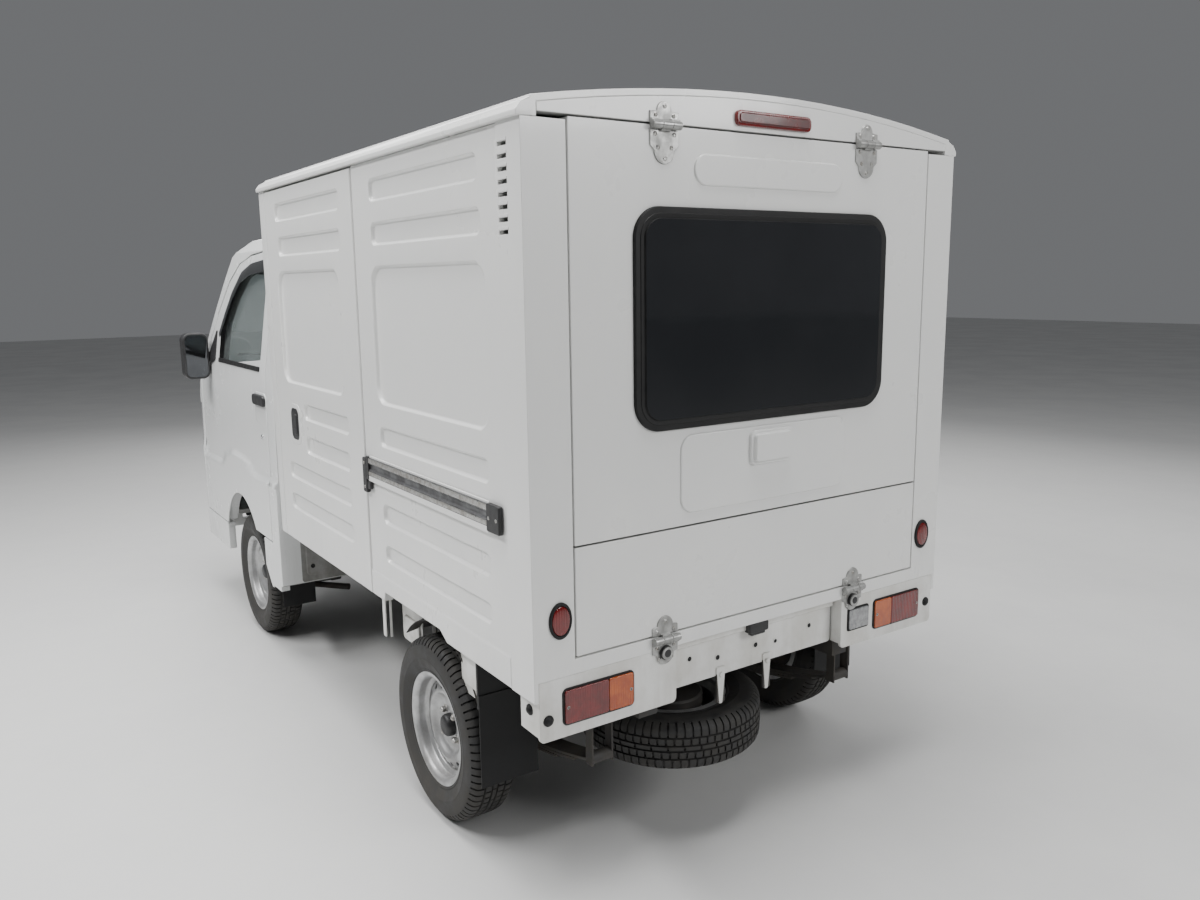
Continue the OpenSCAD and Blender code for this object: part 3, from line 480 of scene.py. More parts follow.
def roundedGap(u, v, area, corner):
    # how far (u, v) lies inside a rounded rectangle; negative outside
    (u0, v0), (u1, v1) = area
    a = abs(u - (u0 + u1) / 2) - (u1 - u0) / 2 + corner
    b = abs(v - (v0 + v1) / 2) - (v1 - v0) / 2 + corner
    return -(min(max(a, b), 0) + math.hypot(max(a, 0), max(b, 0)) - corner)


def gridLines(low, high, marks, widest=0.12):
    lines = [low, high]
    for mark, way, steps in marks:
        lines += [mark + way * step for step in steps]
    lines = sorted(x for x in lines if low - 1e-9 <= x <= high + 1e-9)
    kept = [low]
    for x in lines:
        if x - kept[-1] > widest:
            parts = math.ceil((x - kept[-1]) / widest)
            kept += [kept[-1] + (x - kept[-1]) * k / parts for k in range(1, parts)]
        if x - kept[-1] > 0.0012:
            kept.append(x)
    kept[-1] = high
    return kept


bead = {"depth": 0.01, "slope": 0.009, "roll": 0.004, "edge": (0, 0.001, 0.0025, 0.005),
        "steps": (0, 0.002, 0.004, 0.0065, 0.009, 0.011, 0.0135, 0.018, 0.025, 0.034),
        "wide": (0, 0.003, 0.006, 0.009, 0.012, 0.015, 0.02, 0.027, 0.036, 0.05, 0.066)}


def pressedSheet(bm, area, beads, inside, place, lower=None, level=None):
    # a sheet with sunk beads in local X and Y; its back is flat at local Z = inside. lower is its bottom edge as a
    # line of points, and level is a step in it: the step's height and its depth
    (x0, z0), (x1, z1) = area
    marksX = [(x0, 1, bead["edge"]), (x1, -1, bead["edge"])]
    marksZ = [(z0, 1, bead["edge"]), (z1, -1, bead["edge"])]
    for (a0, b0), (a1, b1), corner in beads:
        steps = bead["wide"] if corner > 0.04 else bead["steps"]
        marksX += [(a0, 1, steps), (a1, -1, steps)]
        marksZ += [(b0, 1, steps), (b1, -1, steps)]
    if lower:
        marksX += [(x, 1, (0,)) for x, z in lower]
    if level:
        marksZ += [(level[0], 1, (-0.006, -0.004, -0.002, 0, 0.002, 0.004, 0.008))]
    linesX, linesZ = gridLines(x0, x1, marksX), gridLines(z0, z1, marksZ)
    nx, nz = len(linesX) - 1, len(linesZ) - 1
    made = grid(bm, nx, nz)
    for v in made:
        x, z = linesX[round((v.co.x + 0.5) * nx)], linesZ[round((v.co.y + 0.5) * nz)]
        toEdge = min(x - x0, x1 - x, z - z0, z1 - z)
        w = 0.0
        if toEdge < bead["roll"]:
            w -= bead["roll"] - math.sqrt(bead["roll"] ** 2 - (bead["roll"] - toEdge) ** 2)
        for low, high, corner in beads:
            inner = roundedGap(x, z, (low, high), corner)
            if inner > 0:
                w -= bead["depth"] * ease(inner / bead["slope"])
        if level:
            w -= level[1] * ease((z - level[0]) / 0.008 + 0.5)
        if lower and z < level[0] - 0.01:
            floor = next(za + (zb - za) * (x - xa) / (xb - xa) for (xa, za), (xb, zb) in zip(lower, lower[1:])
                         if x <= xb + 1e-9)
            top = level[0] - 0.01
            z = floor + (z - z0) * (top - floor) / (top - z0)
        v.co = (x, z, w)
    border = [e for e in bm.edges if e.is_boundary]
    pulled = [g for g in bmesh.ops.extrude_edge_only(bm, edges=border)["geom"] if isinstance(g, bmesh.types.BMVert)]
    for v in pulled:
        v.co.z = inside
    bmesh.ops.holes_fill(bm, edges=[e for e in bm.edges if e.is_boundary], sides=0)
    bmesh.ops.transform(bm, matrix=place, verts=bm.verts)


print("the CAD's own nodes")
slotFinish = {"frame_black": "framePaint", "engine_metal": "castMetal", "tank_black": "framePaint",
              "axle_black": "framePaint", "exhaust_steel": "exhaustSteel", "cab_paint": "cabWhite",
              "box_paint": "boxWhite", "clear_glass": "clearGlass", "dark_glass": "darkGlass",
              "lamp_clear": "clearLens", "lamp_red": "redLens", "grey_plastic": "dashPlastic",
              "black_plastic": "blackPlastic", "seat_fabric": "seatFabric", "floor_paint": "floorPaint",
              "rail_steel": "railSteel", "flap_rubber": "rubber", "tyre_rubber": "tyreRubber",
              "wheel_steel": "wheelSilver"}
for part in frame["record"]["subparts"]:
    mesh = frame["nodes"][part["node"]].data
    mesh.materials.clear()
    mesh.materials.append(materials[slotFinish[part["material_slot"]]])

floorMesh = bmesh.new()
bmesh.ops.create_grid(floorMesh, x_segments=8, y_segments=8, size=30)
floorData = bpy.data.meshes.new("floor")
floorMesh.to_mesh(floorData)
floorMesh.free()
floorData.materials.append(materials["stageFloor"])
floor = bpy.data.objects.new("floor", floorData)
scene.collection.objects.link(floor)
floor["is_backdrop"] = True

print("box sides")
box = {"half": 0.728, "inside": 0.7, "rear": -1.6765, "lip": 1.893, "skirt": 0.578, "gap": 0.005,
       "doorRear": -0.6545, "doorFront": 0.2555, "post": -1.5675, "axle": -1.0565}
doorBeads = [((-0.5465, 1.772), (0.1335, 1.84), 0.026), ((-0.5415, 1.649), (0.1135, 1.721), 0.026),
             ((-0.5065, 1.19), (0.1475, 1.599), 0.065), ((-0.5265, 1.067), (-0.0665, 1.132), 0.026),
             ((-0.5215, 0.945), (-0.0705, 1.014), 0.026), ((-0.5165, 0.827), (0.1495, 0.892), 0.026),
             ((-0.5185, 0.705), (0.1515, 0.771), 0.026)]
fixedBeads = [((-1.4665, 1.777), (-0.7915, 1.845), 0.026), ((-1.4765, 1.655), (-0.7945, 1.723), 0.026),
              ((-1.4915, 1.195), (-0.7755, 1.601), 0.065), ((-1.4815, 1.067), (-0.7845, 1.133), 0.026),
              ((-1.4745, 0.83), (-0.7795, 0.895), 0.026), ((-1.4735, 0.708), (-0.7815, 0.767), 0.026)]
skirtLine = [(box["post"], 0.578), (box["axle"] - 0.149, 0.58), (box["axle"] - 0.105, 0.607),
             (box["axle"] + 0.292, 0.607), (box["axle"] + 0.3, 0.578), (box["doorRear"] - box["gap"], 0.578)]
for side, word in sides:
    place = onSide(side, box["half"])
    bm = bmesh.new()
    pressedSheet(bm, ((box["doorRear"], box["skirt"]), (box["doorFront"], box["lip"] - box["gap"])), doorBeads,
                 box["inside"] - box["half"], place)
    addMesh(f"sliding_skin_{word}", bm, "boxWhite", 60, (f"sliding_door_{word}",))
    bm = bmesh.new()
    pressedSheet(bm, ((box["post"], box["skirt"]), (box["doorRear"] - box["gap"], box["lip"])), fixedBeads,
                 box["inside"] - box["half"], place, skirtLine, (0.658, 0.003))
    addMesh(f"side_skin_{word}", bm, "boxWhite", 60, (f"box_side_{word}",))

print("rear doors, roof and frame")
softCopy("box_roof", "roof_skin", "boxWhite", 0.0022)
softCopy("box_front_wall", "front_wall_skin", "boxWhite", 0.003)
hinged = ["boxWhite", "hingeSteel"]
softCopy("rear_frame", "rear_frame_skin", hinged, 0.0014, behind=box["rear"] - 0.0006)
softCopy("rear_hatch", "hatch_skin", hinged, 0.0014, behind=box["rear"] - 0.0006, body="hatch")
softCopy("tailgate", "tailgate_skin", hinged, 0.0014, behind=box["rear"] - 0.0006, body="tailgate")
softCopy("tail_panel", "tail_panel_skin", "tailWhite", 0.002)

# raised pressings of the hatch: a long bead at the top and the handle's panel
hatch = {"beadLow": (-0.255, 1.77), "beadHigh": (0.255, 1.845), "panelLow": (-0.296, 0.97),
         "panelHigh": (0.296, 1.17), "proud": 0.0045}
bm = bmesh.new()
prisms(bm, onRear(box["rear"]),
       (hatch["beadLow"], hatch["beadHigh"], 0.037, hatch["proud"], 0.0044, 12, 5, -0.0005),
       (hatch["panelLow"], hatch["panelHigh"], 0.04, hatch["proud"], 0.0044, 12, 5, -0.0005))
addMesh("hatch_pressings", bm, "boxWhite", 50, body="hatch")

# window: rubber seal with a lip, and the tinted pane set into it
seal = {"low": (-0.436, 1.187), "high": (0.436, 1.718), "corner": 0.075, "proud": 0.0085, "width": 0.026}
bm = bmesh.new()
top = roundPrism(bm, onRear(box["rear"]), seal["low"], seal["high"], seal["corner"], seal["proud"], 0.0035, 16, 4,
                 -0.001)
inset(bm, top, seal["width"] * 0.42)
inset(bm, top, 0.0015, -0.002)
inset(bm, top, seal["width"] * 0.4, 0.0012)
inset(bm, top, 0.002, -0.0045)
top.material_index = 1
back = roundPrism(bm, onRear(box["rear"] + 0.04) @ Matrix.Diagonal((1, 1, -1, 1)), seal["low"], seal["high"],
                  seal["corner"], 0.003, 0.001, 16, 2, -0.001)
back.material_index = 1
addMesh("hatch_window", bm, ["rubber", "darkGlass"], 30, ("hatch_glass",), body="hatch")

# handle: bezel, pocket, flap and key cylinder
grip = {"low": (-0.08, 1.069), "high": (0.069, 1.16), "corner": 0.018, "proud": 0.013}
bm = bmesh.new()
top = roundPrism(bm, onRear(box["rear"]), grip["low"], grip["high"], grip["corner"], grip["proud"], 0.003, 8, 3,
                 0.003)
inset(bm, top, 0.006)
inset(bm, top, 0.002, -0.0105)
prisms(bm, onRear(box["rear"]),
       ((-0.069, 1.112), (0.058, 1.153), 0.012, 0.0175, 0.005, 8, 3, 0.0055),
       ((-0.01, 1.078), (0.056, 1.104), 0.01, 0.0095, 0.004, 8, 3, 0.003))
addMesh("hatch_handle", bm, "boxWhite", 40, body="hatch")
bm = bmesh.new()
keyPlace = onRear(box["rear"]) @ shift(-0.044, 1.09)
lathe(bm, [(0.0, 0.0085), (0.0015, 0.0085), (0.002, 0.0105), (0.0085, 0.0105), (0.01, 0.0095), (0.01, 0.003)],
      keyPlace, 40)
roundPrism(bm, keyPlace, (-0.0012, -0.005), (0.0012, 0.005), 0, 0.0109, 0, base=0.01)
addMesh("hatch_key", bm, "chrome", body="hatch")

# hinge screws: round heads on both leaves of each hinge
hinge = {"y": 0.346, "face": box["rear"] - 0.004}
screwHead = [(0, 0.0012), (0.0018, 0.0014), (0.0022, 0.0028), (0.0042, 0.0022), (0.0056, 0.0002), (0.0056, -0.001)]
for body, spots, name in (
        ("truck", [(-0.026, 1.922), (0.026, 1.922), (0, 1.942)], "screws_header"),
        ("hatch", [(-0.028, 1.88), (0.028, 1.88), (-0.02, 1.85), (0.02, 1.85), (0, 1.826)], "screws_hatch"),
        ("tailgate", [(-0.026, 0.678), (0.026, 0.678), (0, 0.702)], "screws_gate"),
        ("truck", [(-0.027, 0.636), (0.027, 0.636), (-0.02, 0.606), (0.02, 0.606)], "screws_sill")):
    bm = bmesh.new()
    for side in (1, -1):
        lathes(bm, screwHead, onRear(hinge["face"]), [(side * hinge["y"] + u, v) for u, v in spots], 20)
    addMesh(name, bm, "zinc", 40, body=body)

print("lamps and tail details")
tail = {"lampIn": 0.448, "split": 0.5205, "lampOut": 0.648, "lampLow": 0.509, "lampHigh": 0.593, "lens": 0.0065,
        "gasket": 0.005, "sheet": box["rear"] + 0.04}
for side, word in sides:
    place = onRear(box["rear"]) @ Matrix.Diagonal((side, 1, 1, 1))
    bm = bmesh.new()
    roundPrism(bm, place, (tail["lampIn"] - tail["gasket"], tail["lampLow"] - tail["gasket"]),
               (tail["lampOut"] + tail["gasket"], tail["lampHigh"] + tail["gasket"]), 0.014, 0.0035, 0.0018, 8, 2)
    tinted(bm, 0)
    roundPrism(bm, place, (tail["lampIn"], tail["lampLow"]), (tail["split"], tail["lampHigh"]), 0.006,
               tail["lens"] + 0.001, 0.0022, 5, 3, 0.002)
    tinted(bm, 1)
    roundPrism(bm, place, (tail["split"] + 0.001, tail["lampLow"]), (tail["lampOut"], tail["lampHigh"]), 0.006,
               tail["lens"] + 0.001, 0.0022, 5, 3, 0.002)
    tinted(bm, 2)
    lathes(bm, [(0, 0.0075), (0.002, 0.0075), (0.0024, 0.0088), (0.004, 0.0082), (0.0044, 0.006)], place,
           ((tail["lampIn"] + 0.008, 0.551), (tail["lampOut"] - 0.008, 0.551)), 16)
    tinted(bm, 3)
    addMesh(f"tail_lamp_{word}", bm, ["rubber", "amberLens", "redLens", "zinc"], 30, ("rear_lamps",))
    bm = bmesh.new()
    oval = place @ shift(0.654, 0.768) @ Matrix.Diagonal((1, 1.45, 1, 1))
    lathe(bm, [(0.031, -0.001), (0.031, 0.004), (0.029, 0.0058), (0.0255, 0.0058), (0.025, 0.004)], oval, 56)
    tinted(bm, 0)
    lathe(bm, [(0.0252, 0.003), (0.0235, 0.0062), (0.018, 0.0078), (0.0, 0.0088)], oval, 56)
    tinted(bm, 1)
    addMesh(f"reflector_{word}", bm, ["rubber", "redLens"], 40)

bm = bmesh.new()
place = onRear(box["rear"])
roundPrism(bm, place, (-0.423, 0.522), (-0.332, 0.593), 0.008, 0.003, 0.0015, 5, 2)
tinted(bm, 0)
roundPrism(bm, place, (-0.418, 0.527), (-0.337, 0.588), 0.006, 0.007, 0.0025, 5, 3, 0.002)
tinted(bm, 1)
addMesh("reverse_lamp", bm, ["rubber", "frostLens"], 30)

bm = bmesh.new()
stop = roundPrism(bm, place, (-0.128, 1.916), (0.128, 1.953), 0.014, 0.0095, 0.003, 8, 3, -0.001)
inset(bm, stop, 0.004)
tinted(bm, 0)
roundPrism(bm, place, (-0.121, 1.9215), (0.121, 1.948), 0.01, 0.0118, 0.004, 8, 4, 0.006)
tinted(bm, 1)
addMesh("stop_lamp", bm, ["redLens", "stopRed"], 30)

# the sunk panel between the lamps, its drain holes, the plate's two brackets and the plate lamp
bm = bmesh.new()
sheetPlace = onRear(tail["sheet"])
prisms(bm, sheetPlace, ((-0.3035, 0.489), (0.3035, 0.6265), 0.01, 0.0008, 0.0006, 5, 1, -0.0125),
       ((-0.3, 0.6), (0.3, 0.626), 0.004, 0.014, 0.004, 4, 3))
tinted(bm, 0)
for y, z, r in ((0.134, 0.541, 0.0075), (-0.005, 0.545, 0.0075), (-0.081, 0.539, 0.006), (0.232, 0.56, 0.007),
                (-0.215, 0.556, 0.007)):
    lathe(bm, [(r + 0.003, 0.0005), (r + 0.002, 0.0022), (r, 0.0018), (r - 0.0004, 0.001)],
          sheetPlace @ shift(y, z), 28)
    tinted(bm, 0)
    lathe(bm, [(r, 0.001), (0, 0.001)], sheetPlace @ shift(y, z), 28)
    tinted(bm, 1)
addMesh("tail_sheet", bm, ["tailWhite", "rubber"], 40)

bracket = {"half": 0.0155, "foot": 0.0045, "top": 0.513, "knee": 0.44, "tip": 0.408, "thick": 0.006}
bm = bmesh.new()
for y in (0.125, -0.045):
    front = sheetPlace @ shift(y, 0)
    face = roundPrism(bm, front, (-bracket["half"], bracket["tip"]), (bracket["half"], bracket["top"]), 0.004,
                      bracket["thick"], 0.0018, 3, 2, -0.001)
    for v in {v for f in bm.faces for v in f.verts}:
        off = v.co.y - y
        if abs(off) <= bracket["half"] + 1e-6 and v.co.z < bracket["knee"]:
            t = (bracket["knee"] - v.co.z) / (bracket["knee"] - bracket["tip"])
            v.co.y = y + off * (1 - t * (1 - bracket["foot"] / bracket["half"]))
    lathe(bm, [(0, 0.011), (0.007, 0.011), (0.0085, 0.009), (0.0085, 0.005), (0.012, 0.0045), (0.012, 0.002)],
          front @ shift(0, 0.492), 6)
addMesh("plate_brackets", bm, "tailWhite")

bm = bmesh.new()
prisms(bm, sheetPlace, ((-0.028, 0.593), (0.044, 0.622), 0.006, 0.03, 0.005, 5, 3, 0.01),
       ((-0.018, 0.585), (0.034, 0.597), 0.004, 0.026, 0.003, 4, 2, 0.012))
for side in (1, -1):
    lathe(bm, [(0.0, 0.0108), (0.01, 0.0106), (0.0155, 0.0092), (0.0185, 0.0062), (0.0185, 0.0), (0.0185, -0.001)],
          onRear(box["rear"] - 0.0045) @ shift(side * 0.346, 0.62), 40)
addMesh("plate_lamp_and_buffers", bm, "blackPlastic", 40)

bm = bmesh.new()
plug = [(0.0, 0.0085), (0.006, 0.008), (0.0095, 0.0055), (0.0105, 0.003), (0.0135, 0.0025), (0.014, 0.0)]
for here in (onRear(box["rear"]) @ shift(0.692, 0.529),
             onRear(box["rear"]) @ shift(-0.69, 0.543),
             onSide(1, 0.716) @ shift(-1.632, 0.548),
             onSide(-1, 0.716) @ shift(-1.632, 0.548)):
    lathe(bm, plug, here, 28)
addMesh("tail_plugs", bm, "rubber", 40)

print("rails, door handles and louvres")
rail = {"rear": -1.5475, "front": -0.6945, "low": 0.958, "high": 1.026}
# hoods over the ventilation slots
hood = {"count": 8, "top": 1.8505, "pitch": 0.027, "tall": 0.007, "rear": -1.6165, "front": -1.5715, "proud": 0.0014}
for side, word in sides:
    place = onSide(side, box["half"])
    bm = bmesh.new()
    prisms(bm, place,
           ((rail["rear"] - 0.001, rail["low"] - 0.001), (rail["rear"] + 0.063, rail["high"] + 0.001), 0.005, 0.0118,
            0.003, 4, 3),
           ((rail["front"] - 0.012, 0.955), (rail["front"] + 0.008, 1.028), 0.004, 0.0105, 0.002, 4, 2),
           ((rail["front"] + 0.004, 0.912), (rail["front"] + 0.036, 1.022), 0.007, 0.0112, 0.003, 5, 3),
           ((rail["front"] - 0.02, 0.925), (rail["front"] + 0.01, 0.95), 0.005, 0.009, 0.002, 4, 2))
    tinted(bm, 0)
    lathes(bm, [(0, 0.0122), (0.002, 0.0124), (0.003, 0.0132), (0.0048, 0.0125), (0.0052, 0.01)], place,
           ((rail["rear"] + 0.012, 0.992), (rail["rear"] + 0.05, 0.992), (rail["front"] + 0.02, 0.93),
            (rail["front"] + 0.02, 1.005)), 20)
    tinted(bm, 1)
    addMesh(f"rail_ends_{word}", bm, ["blackPlastic", "zinc"])
    bm = bmesh.new()
    prisms(bm, place, ((rail["rear"] + 0.06, 0.952), (rail["front"] - 0.008, 0.9685), 0.001, 0.0085, 0.0022, 2, 3),
           ((rail["rear"] + 0.06, 1.0235), (rail["front"] - 0.008, 1.03), 0.001, 0.004, 0.0015, 2, 2))
    addMesh(f"rail_ledge_{word}", bm, "boxWhite")
    bm = bmesh.new()
    prisms(bm, place,
           ((rail["rear"] + 0.062, 0.97), (rail["front"] - 0.01, 0.982), 0.002, 0.0094, 0.0018, 3, 2, 0.004),
           ((rail["rear"] + 0.062, 1.008), (rail["front"] - 0.01, 1.0225), 0.002, 0.0094, 0.0018, 3, 2, 0.004))
    tinted(bm, 0)
    addMesh(f"rail_lips_{word}", bm, ["zinc"])
    # sliding door handle: a black cup with a pull in it and a painted surround
    bm = bmesh.new()
    cup = roundPrism(bm, place, (-0.017, 0.968), (0.103, 1.117), 0.034, 0.0015, 0.0014, 10, 3, -0.009)
    inset(bm, cup, 0.01, -0.0004)
    tinted(bm, 0)
    cup = roundPrism(bm, place, (0.0, 0.984), (0.086, 1.101), 0.026, 0.003, 0.0018, 10, 3, -0.002)
    inset(bm, cup, 0.007)
    inset(bm, cup, 0.004, -0.0025)
    roundPrism(bm, place, (0.012, 1.005), (0.04, 1.083), 0.012, 0.0075, 0.0035, 8, 4, 0.0)
    tinted(bm, 1)
    addMesh(f"sliding_handle_{word}", bm, ["boxWhite", "blackPlastic"])
    bm = bmesh.new()
    for k in range(hood["count"]):
        z = hood["top"] - hood["pitch"] * k
        roundPrism(bm, place, (hood["rear"], z), (hood["front"], z + hood["tall"]), 0.002, hood["proud"],
                   0.0012, 3, 2, -0.004)
    addMesh(f"vent_hoods_{word}", bm, "boxWhite", 40)

print("wheels and tyres")
wheel = {"track": 0.65, "height": 0.269, "front": 0.8435, "rear": -1.0565, "vents": 16, "vent": 0.0086,
         "ventRing": 0.119, "ventOval": 0.3, "sheet": 0.0035, "nuts": 4, "nutRing": 0.05}
# the tread's blocks: radius and half width where each row of cuts starts and ends
tyre = {"sectors": 288, "blocks": 72, "cut": 0.0048, "edge": 0.0004, "shoulder": 0.2485, "shoulderIn": 0.0336,
        "crown": 0.266, "rowIn": 0.0112, "rowOut": 0.0274, "middle": 0.0049}
barrel = [(0.167, 0.0575), (0.1665, 0.059), (0.16, 0.0588), (0.1545, 0.056), (0.1485, 0.05), (0.147, 0.044),
          (0.1468, 0.032), (0.144, 0.026), (0.1345, 0.02), (0.132, 0.016), (0.132, -0.031), (0.147, -0.047),
          (0.149, -0.059), (0.167, -0.059), (0.167, -0.053), (0.152, -0.047), (0.137, -0.029), (0.137, 0.017),
          (0.152, 0.029), (0.152, 0.047), (0.164, 0.0545), (0.167, 0.0575)]
disc = [(0.03, 0.008), (0.06, 0.008), (0.072, 0.0085), (0.079, 0.0105), (0.085, 0.015), (0.09, 0.0205),
        (0.095, 0.0255), (0.1, 0.028), (0.1065, 0.0272), (0.119, 0.0205), (0.1318, 0.013), (0.1365, 0.01)]
wall = [(0.1535, 0.0455), (0.156, 0.053), (0.162, 0.0575), (0.17, 0.0595), (0.172, 0.0615), (0.1745, 0.0615),
        (0.176, 0.0605), (0.19, 0.066), (0.205, 0.0705), (0.207, 0.0715), (0.2095, 0.0715), (0.211, 0.0708),
        (0.228, 0.0716), (0.24, 0.07), (0.2475, 0.0672)]
tread = [(0.2535, 0.064), (0.26, 0.059), (0.265, 0.053), (0.2672, 0.047), (0.268, 0.0395), (0.2682, 0.0335),
         (0.263, 0.0325), (0.263, 0.0285), (0.2685, 0.0275), (0.2688, 0.019), (0.269, 0.011), (0.2635, 0.01),
         (0.2635, 0.006), (0.269, 0.005)]


def buildTyre(bm, place):
    half = wall + tread
    outline = half + [(r, -h) for r, h in reversed(half)]
    old = set(bm.verts)
    new = set(lathe(bm, outline, Matrix(), tyre["sectors"]))
    share = tyre["sectors"] // tyre["blocks"]
    cuts = []
    for f in bm.faces:
        if not new.issuperset(f.verts):
            continue
        centre = f.calc_center_median()
        turn = int((math.atan2(centre.y, centre.x) % tau) / tau * tyre["sectors"])
        radius, across = math.hypot(centre.x, centre.y), abs(centre.z)
        offset = 2 if centre.z > 0 else 0
        onCrown = radius > tyre["crown"]
        if (radius > tyre["shoulder"] and across > tyre["shoulderIn"] and (turn + offset) % share == 0
                or onCrown and tyre["rowIn"] < across < tyre["rowOut"] and (turn + offset + 1) % share == 0
                or onCrown and across < tyre["middle"] and turn % (share * 2) == 0):
            cuts.append(f)
    bmesh.ops.inset_region(bm, faces=cuts, thickness=tyre["edge"], depth=-tyre["cut"], use_even_offset=False)
    fresh = [v for v in bm.verts if v not in old]
    bmesh.ops.transform(bm, matrix=place, verts=fresh)


def buildWheel(bm, place):
    # disc with vents, rim, hub cap, nuts, and the drum and shield behind the disc
    old = set(bm.verts)
    oldFaces = set(bm.faces)
    steps = wheel["vents"] * 4
    lathe(bm, disc, Matrix(), steps)
    vents = []
    for v in [v for v in bm.verts if v not in old]:
        turn = math.atan2(v.co.y, v.co.x) % tau / tau * steps
        if abs(math.hypot(v.co.x, v.co.y) - wheel["ventRing"]) < 1e-4 and round(turn) % 4 == 2:
            vents.append(v)
    centres = [v.co.copy() for v in vents]
    holes = bmesh.ops.bevel(bm, geom=vents, offset=wheel["vent"], offset_type="OFFSET", segments=4,
                            affect="VERTICES", profile=0.5, material=-1)["faces"]
    for v in {v for f in holes for v in f.verts}:
        c = min(centres, key=lambda c: (c - v.co).length_squared)
        out = Vector((c.x, c.y, 0)).normalized()
        v.co = c + (v.co - c).normalized() * wheel["vent"]
        v.co += out * (v.co - c).dot(out) * wheel["ventOval"]
    bmesh.ops.delete(bm, geom=holes, context="FACES")
    sheet = [f for f in bm.faces if f not in oldFaces]
    bmesh.ops.recalc_face_normals(bm, faces=sheet)
    if sum(f.normal.z for f in sheet) < 0:
        bmesh.ops.reverse_faces(bm, faces=sheet)
    bmesh.ops.solidify(bm, geom=sheet, thickness=wheel["sheet"])
    lathe(bm, barrel, Matrix(), 128)
    tinted(bm, 0)
    lathe(bm, [(0, 0.0352), (0.01, 0.035), (0.02, 0.0338), (0.0275, 0.0305), (0.0315, 0.0255), (0.033, 0.02),
               (0.0335, 0.007)], Matrix(), 56)
    tinted(bm, 1)
    for k in range(wheel["nuts"]):
        turn = Matrix.Rotation(math.pi / 4 + k * tau / wheel["nuts"], 4, "Z") @ shift(wheel["nutRing"], 0)
        lathe(bm, [(0, 0.025), (0.0035, 0.0248), (0.0065, 0.0232), (0.009, 0.02), (0.0095, 0.0185), (0.0095, 0.0078)],
              turn, 6)
        lathe(bm, [(0.0135, 0.0088), (0.0125, 0.01), (0.009, 0.01)], turn, 28)
    tinted(bm, 2)
    lathe(bm, [(0.03, -0.0135), (0.084, -0.0135), (0.094, -0.016), (0.098, -0.022), (0.098, -0.052), (0.092, -0.058),
               (0.02, -0.058)], Matrix(), 64)
    lathe(bm, [(0.096, -0.004), (0.1315, -0.004), (0.1315, -0.008), (0.096, -0.008)], Matrix(), 64)
    tinted(bm, 3)
    fresh = [v for v in bm.verts if v not in old]
    bmesh.ops.transform(bm, matrix=place, verts=fresh)


wheelFinish = ["wheelSilver", "blackPlastic", "zinc", "framePaint"]
for end in ("front", "rear"):
    for side, word in sides:
        place = Matrix.Translation((wheel[end], 0, wheel["height"])) @ onSide(side, wheel["track"])
        body = f"wheel_{end}_{word}"
        bm = bmesh.new()
        buildWheel(bm, place)
        addMesh(f"rim_{end}_{word}", bm, wheelFinish, 32, (f"{end}_wheel_{word}",), body=body)
        bm = bmesh.new()
        buildTyre(bm, place)
        addMesh(f"tread_{end}_{word}", bm, "tyreRubber", 34, (f"{end}_tyre_{word}",), body=body)

# the spare lies face down and a little smaller, hung on a rod and a bracket
spareAt = {"x": -1.3865, "y": 0.1, "z": 0.2945, "scale": 0.985, "rodLow": 0.285, "rodHigh": 0.44}
spare = (Matrix.Translation((spareAt["x"], spareAt["y"], spareAt["z"])) @
         Matrix.Diagonal((spareAt["scale"], spareAt["scale"], -1, 1)))
bm = bmesh.new()
buildTyre(bm, spare)
addMesh("spare_tyre", bm, "tyreRubber", 34, ("spare_wheel",))
bm = bmesh.new()
buildWheel(bm, spare)
newRod(bm, (spareAt["x"], spareAt["y"], spareAt["rodLow"]), (spareAt["x"], spareAt["y"], spareAt["rodHigh"]), 0.009,
       None, 20)
beam(bm, (spareAt["x"] - 0.045, 0.085, 0.425), (spareAt["x"] + 0.045, 0.115, 0.443), 0.003)
tinted(bm, 3)
addMesh("spare_rim", bm, wheelFinish, 32)
softCopy("mudflaps", "mudflap_rubber", "rubber", 0.0012)

print("cab")
cab = {"half": 0.7375, "back": 0.3455, "fold": 0.012, "foldWidth": 0.025, "stripX": (0.4, 0.045, 29),
       "stripZ": (0.67, 0.0125, 19), "flank": 0.715, "reach": 0.004}
# the CAD's straight fold: (height, how far in it is by there)
cadFold = [(0.735, 0.0), (0.79, 0.009), (0.9, 0.012)]
creaseLine = [(0.34, 0.754), (0.66, 0.742), (0.808, 0.79), (1.014, 0.799), (1.154, 0.767), (1.248, 0.715),
              (1.7, 0.706)]


def creaseAt(x):
    for (xa, za), (xb, zb) in zip(creaseLine, creaseLine[1:]):
        if x <= xb:
            return za + (zb - za) * ease((x - xa) / (xb - xa))
    return creaseLine[-1][1]


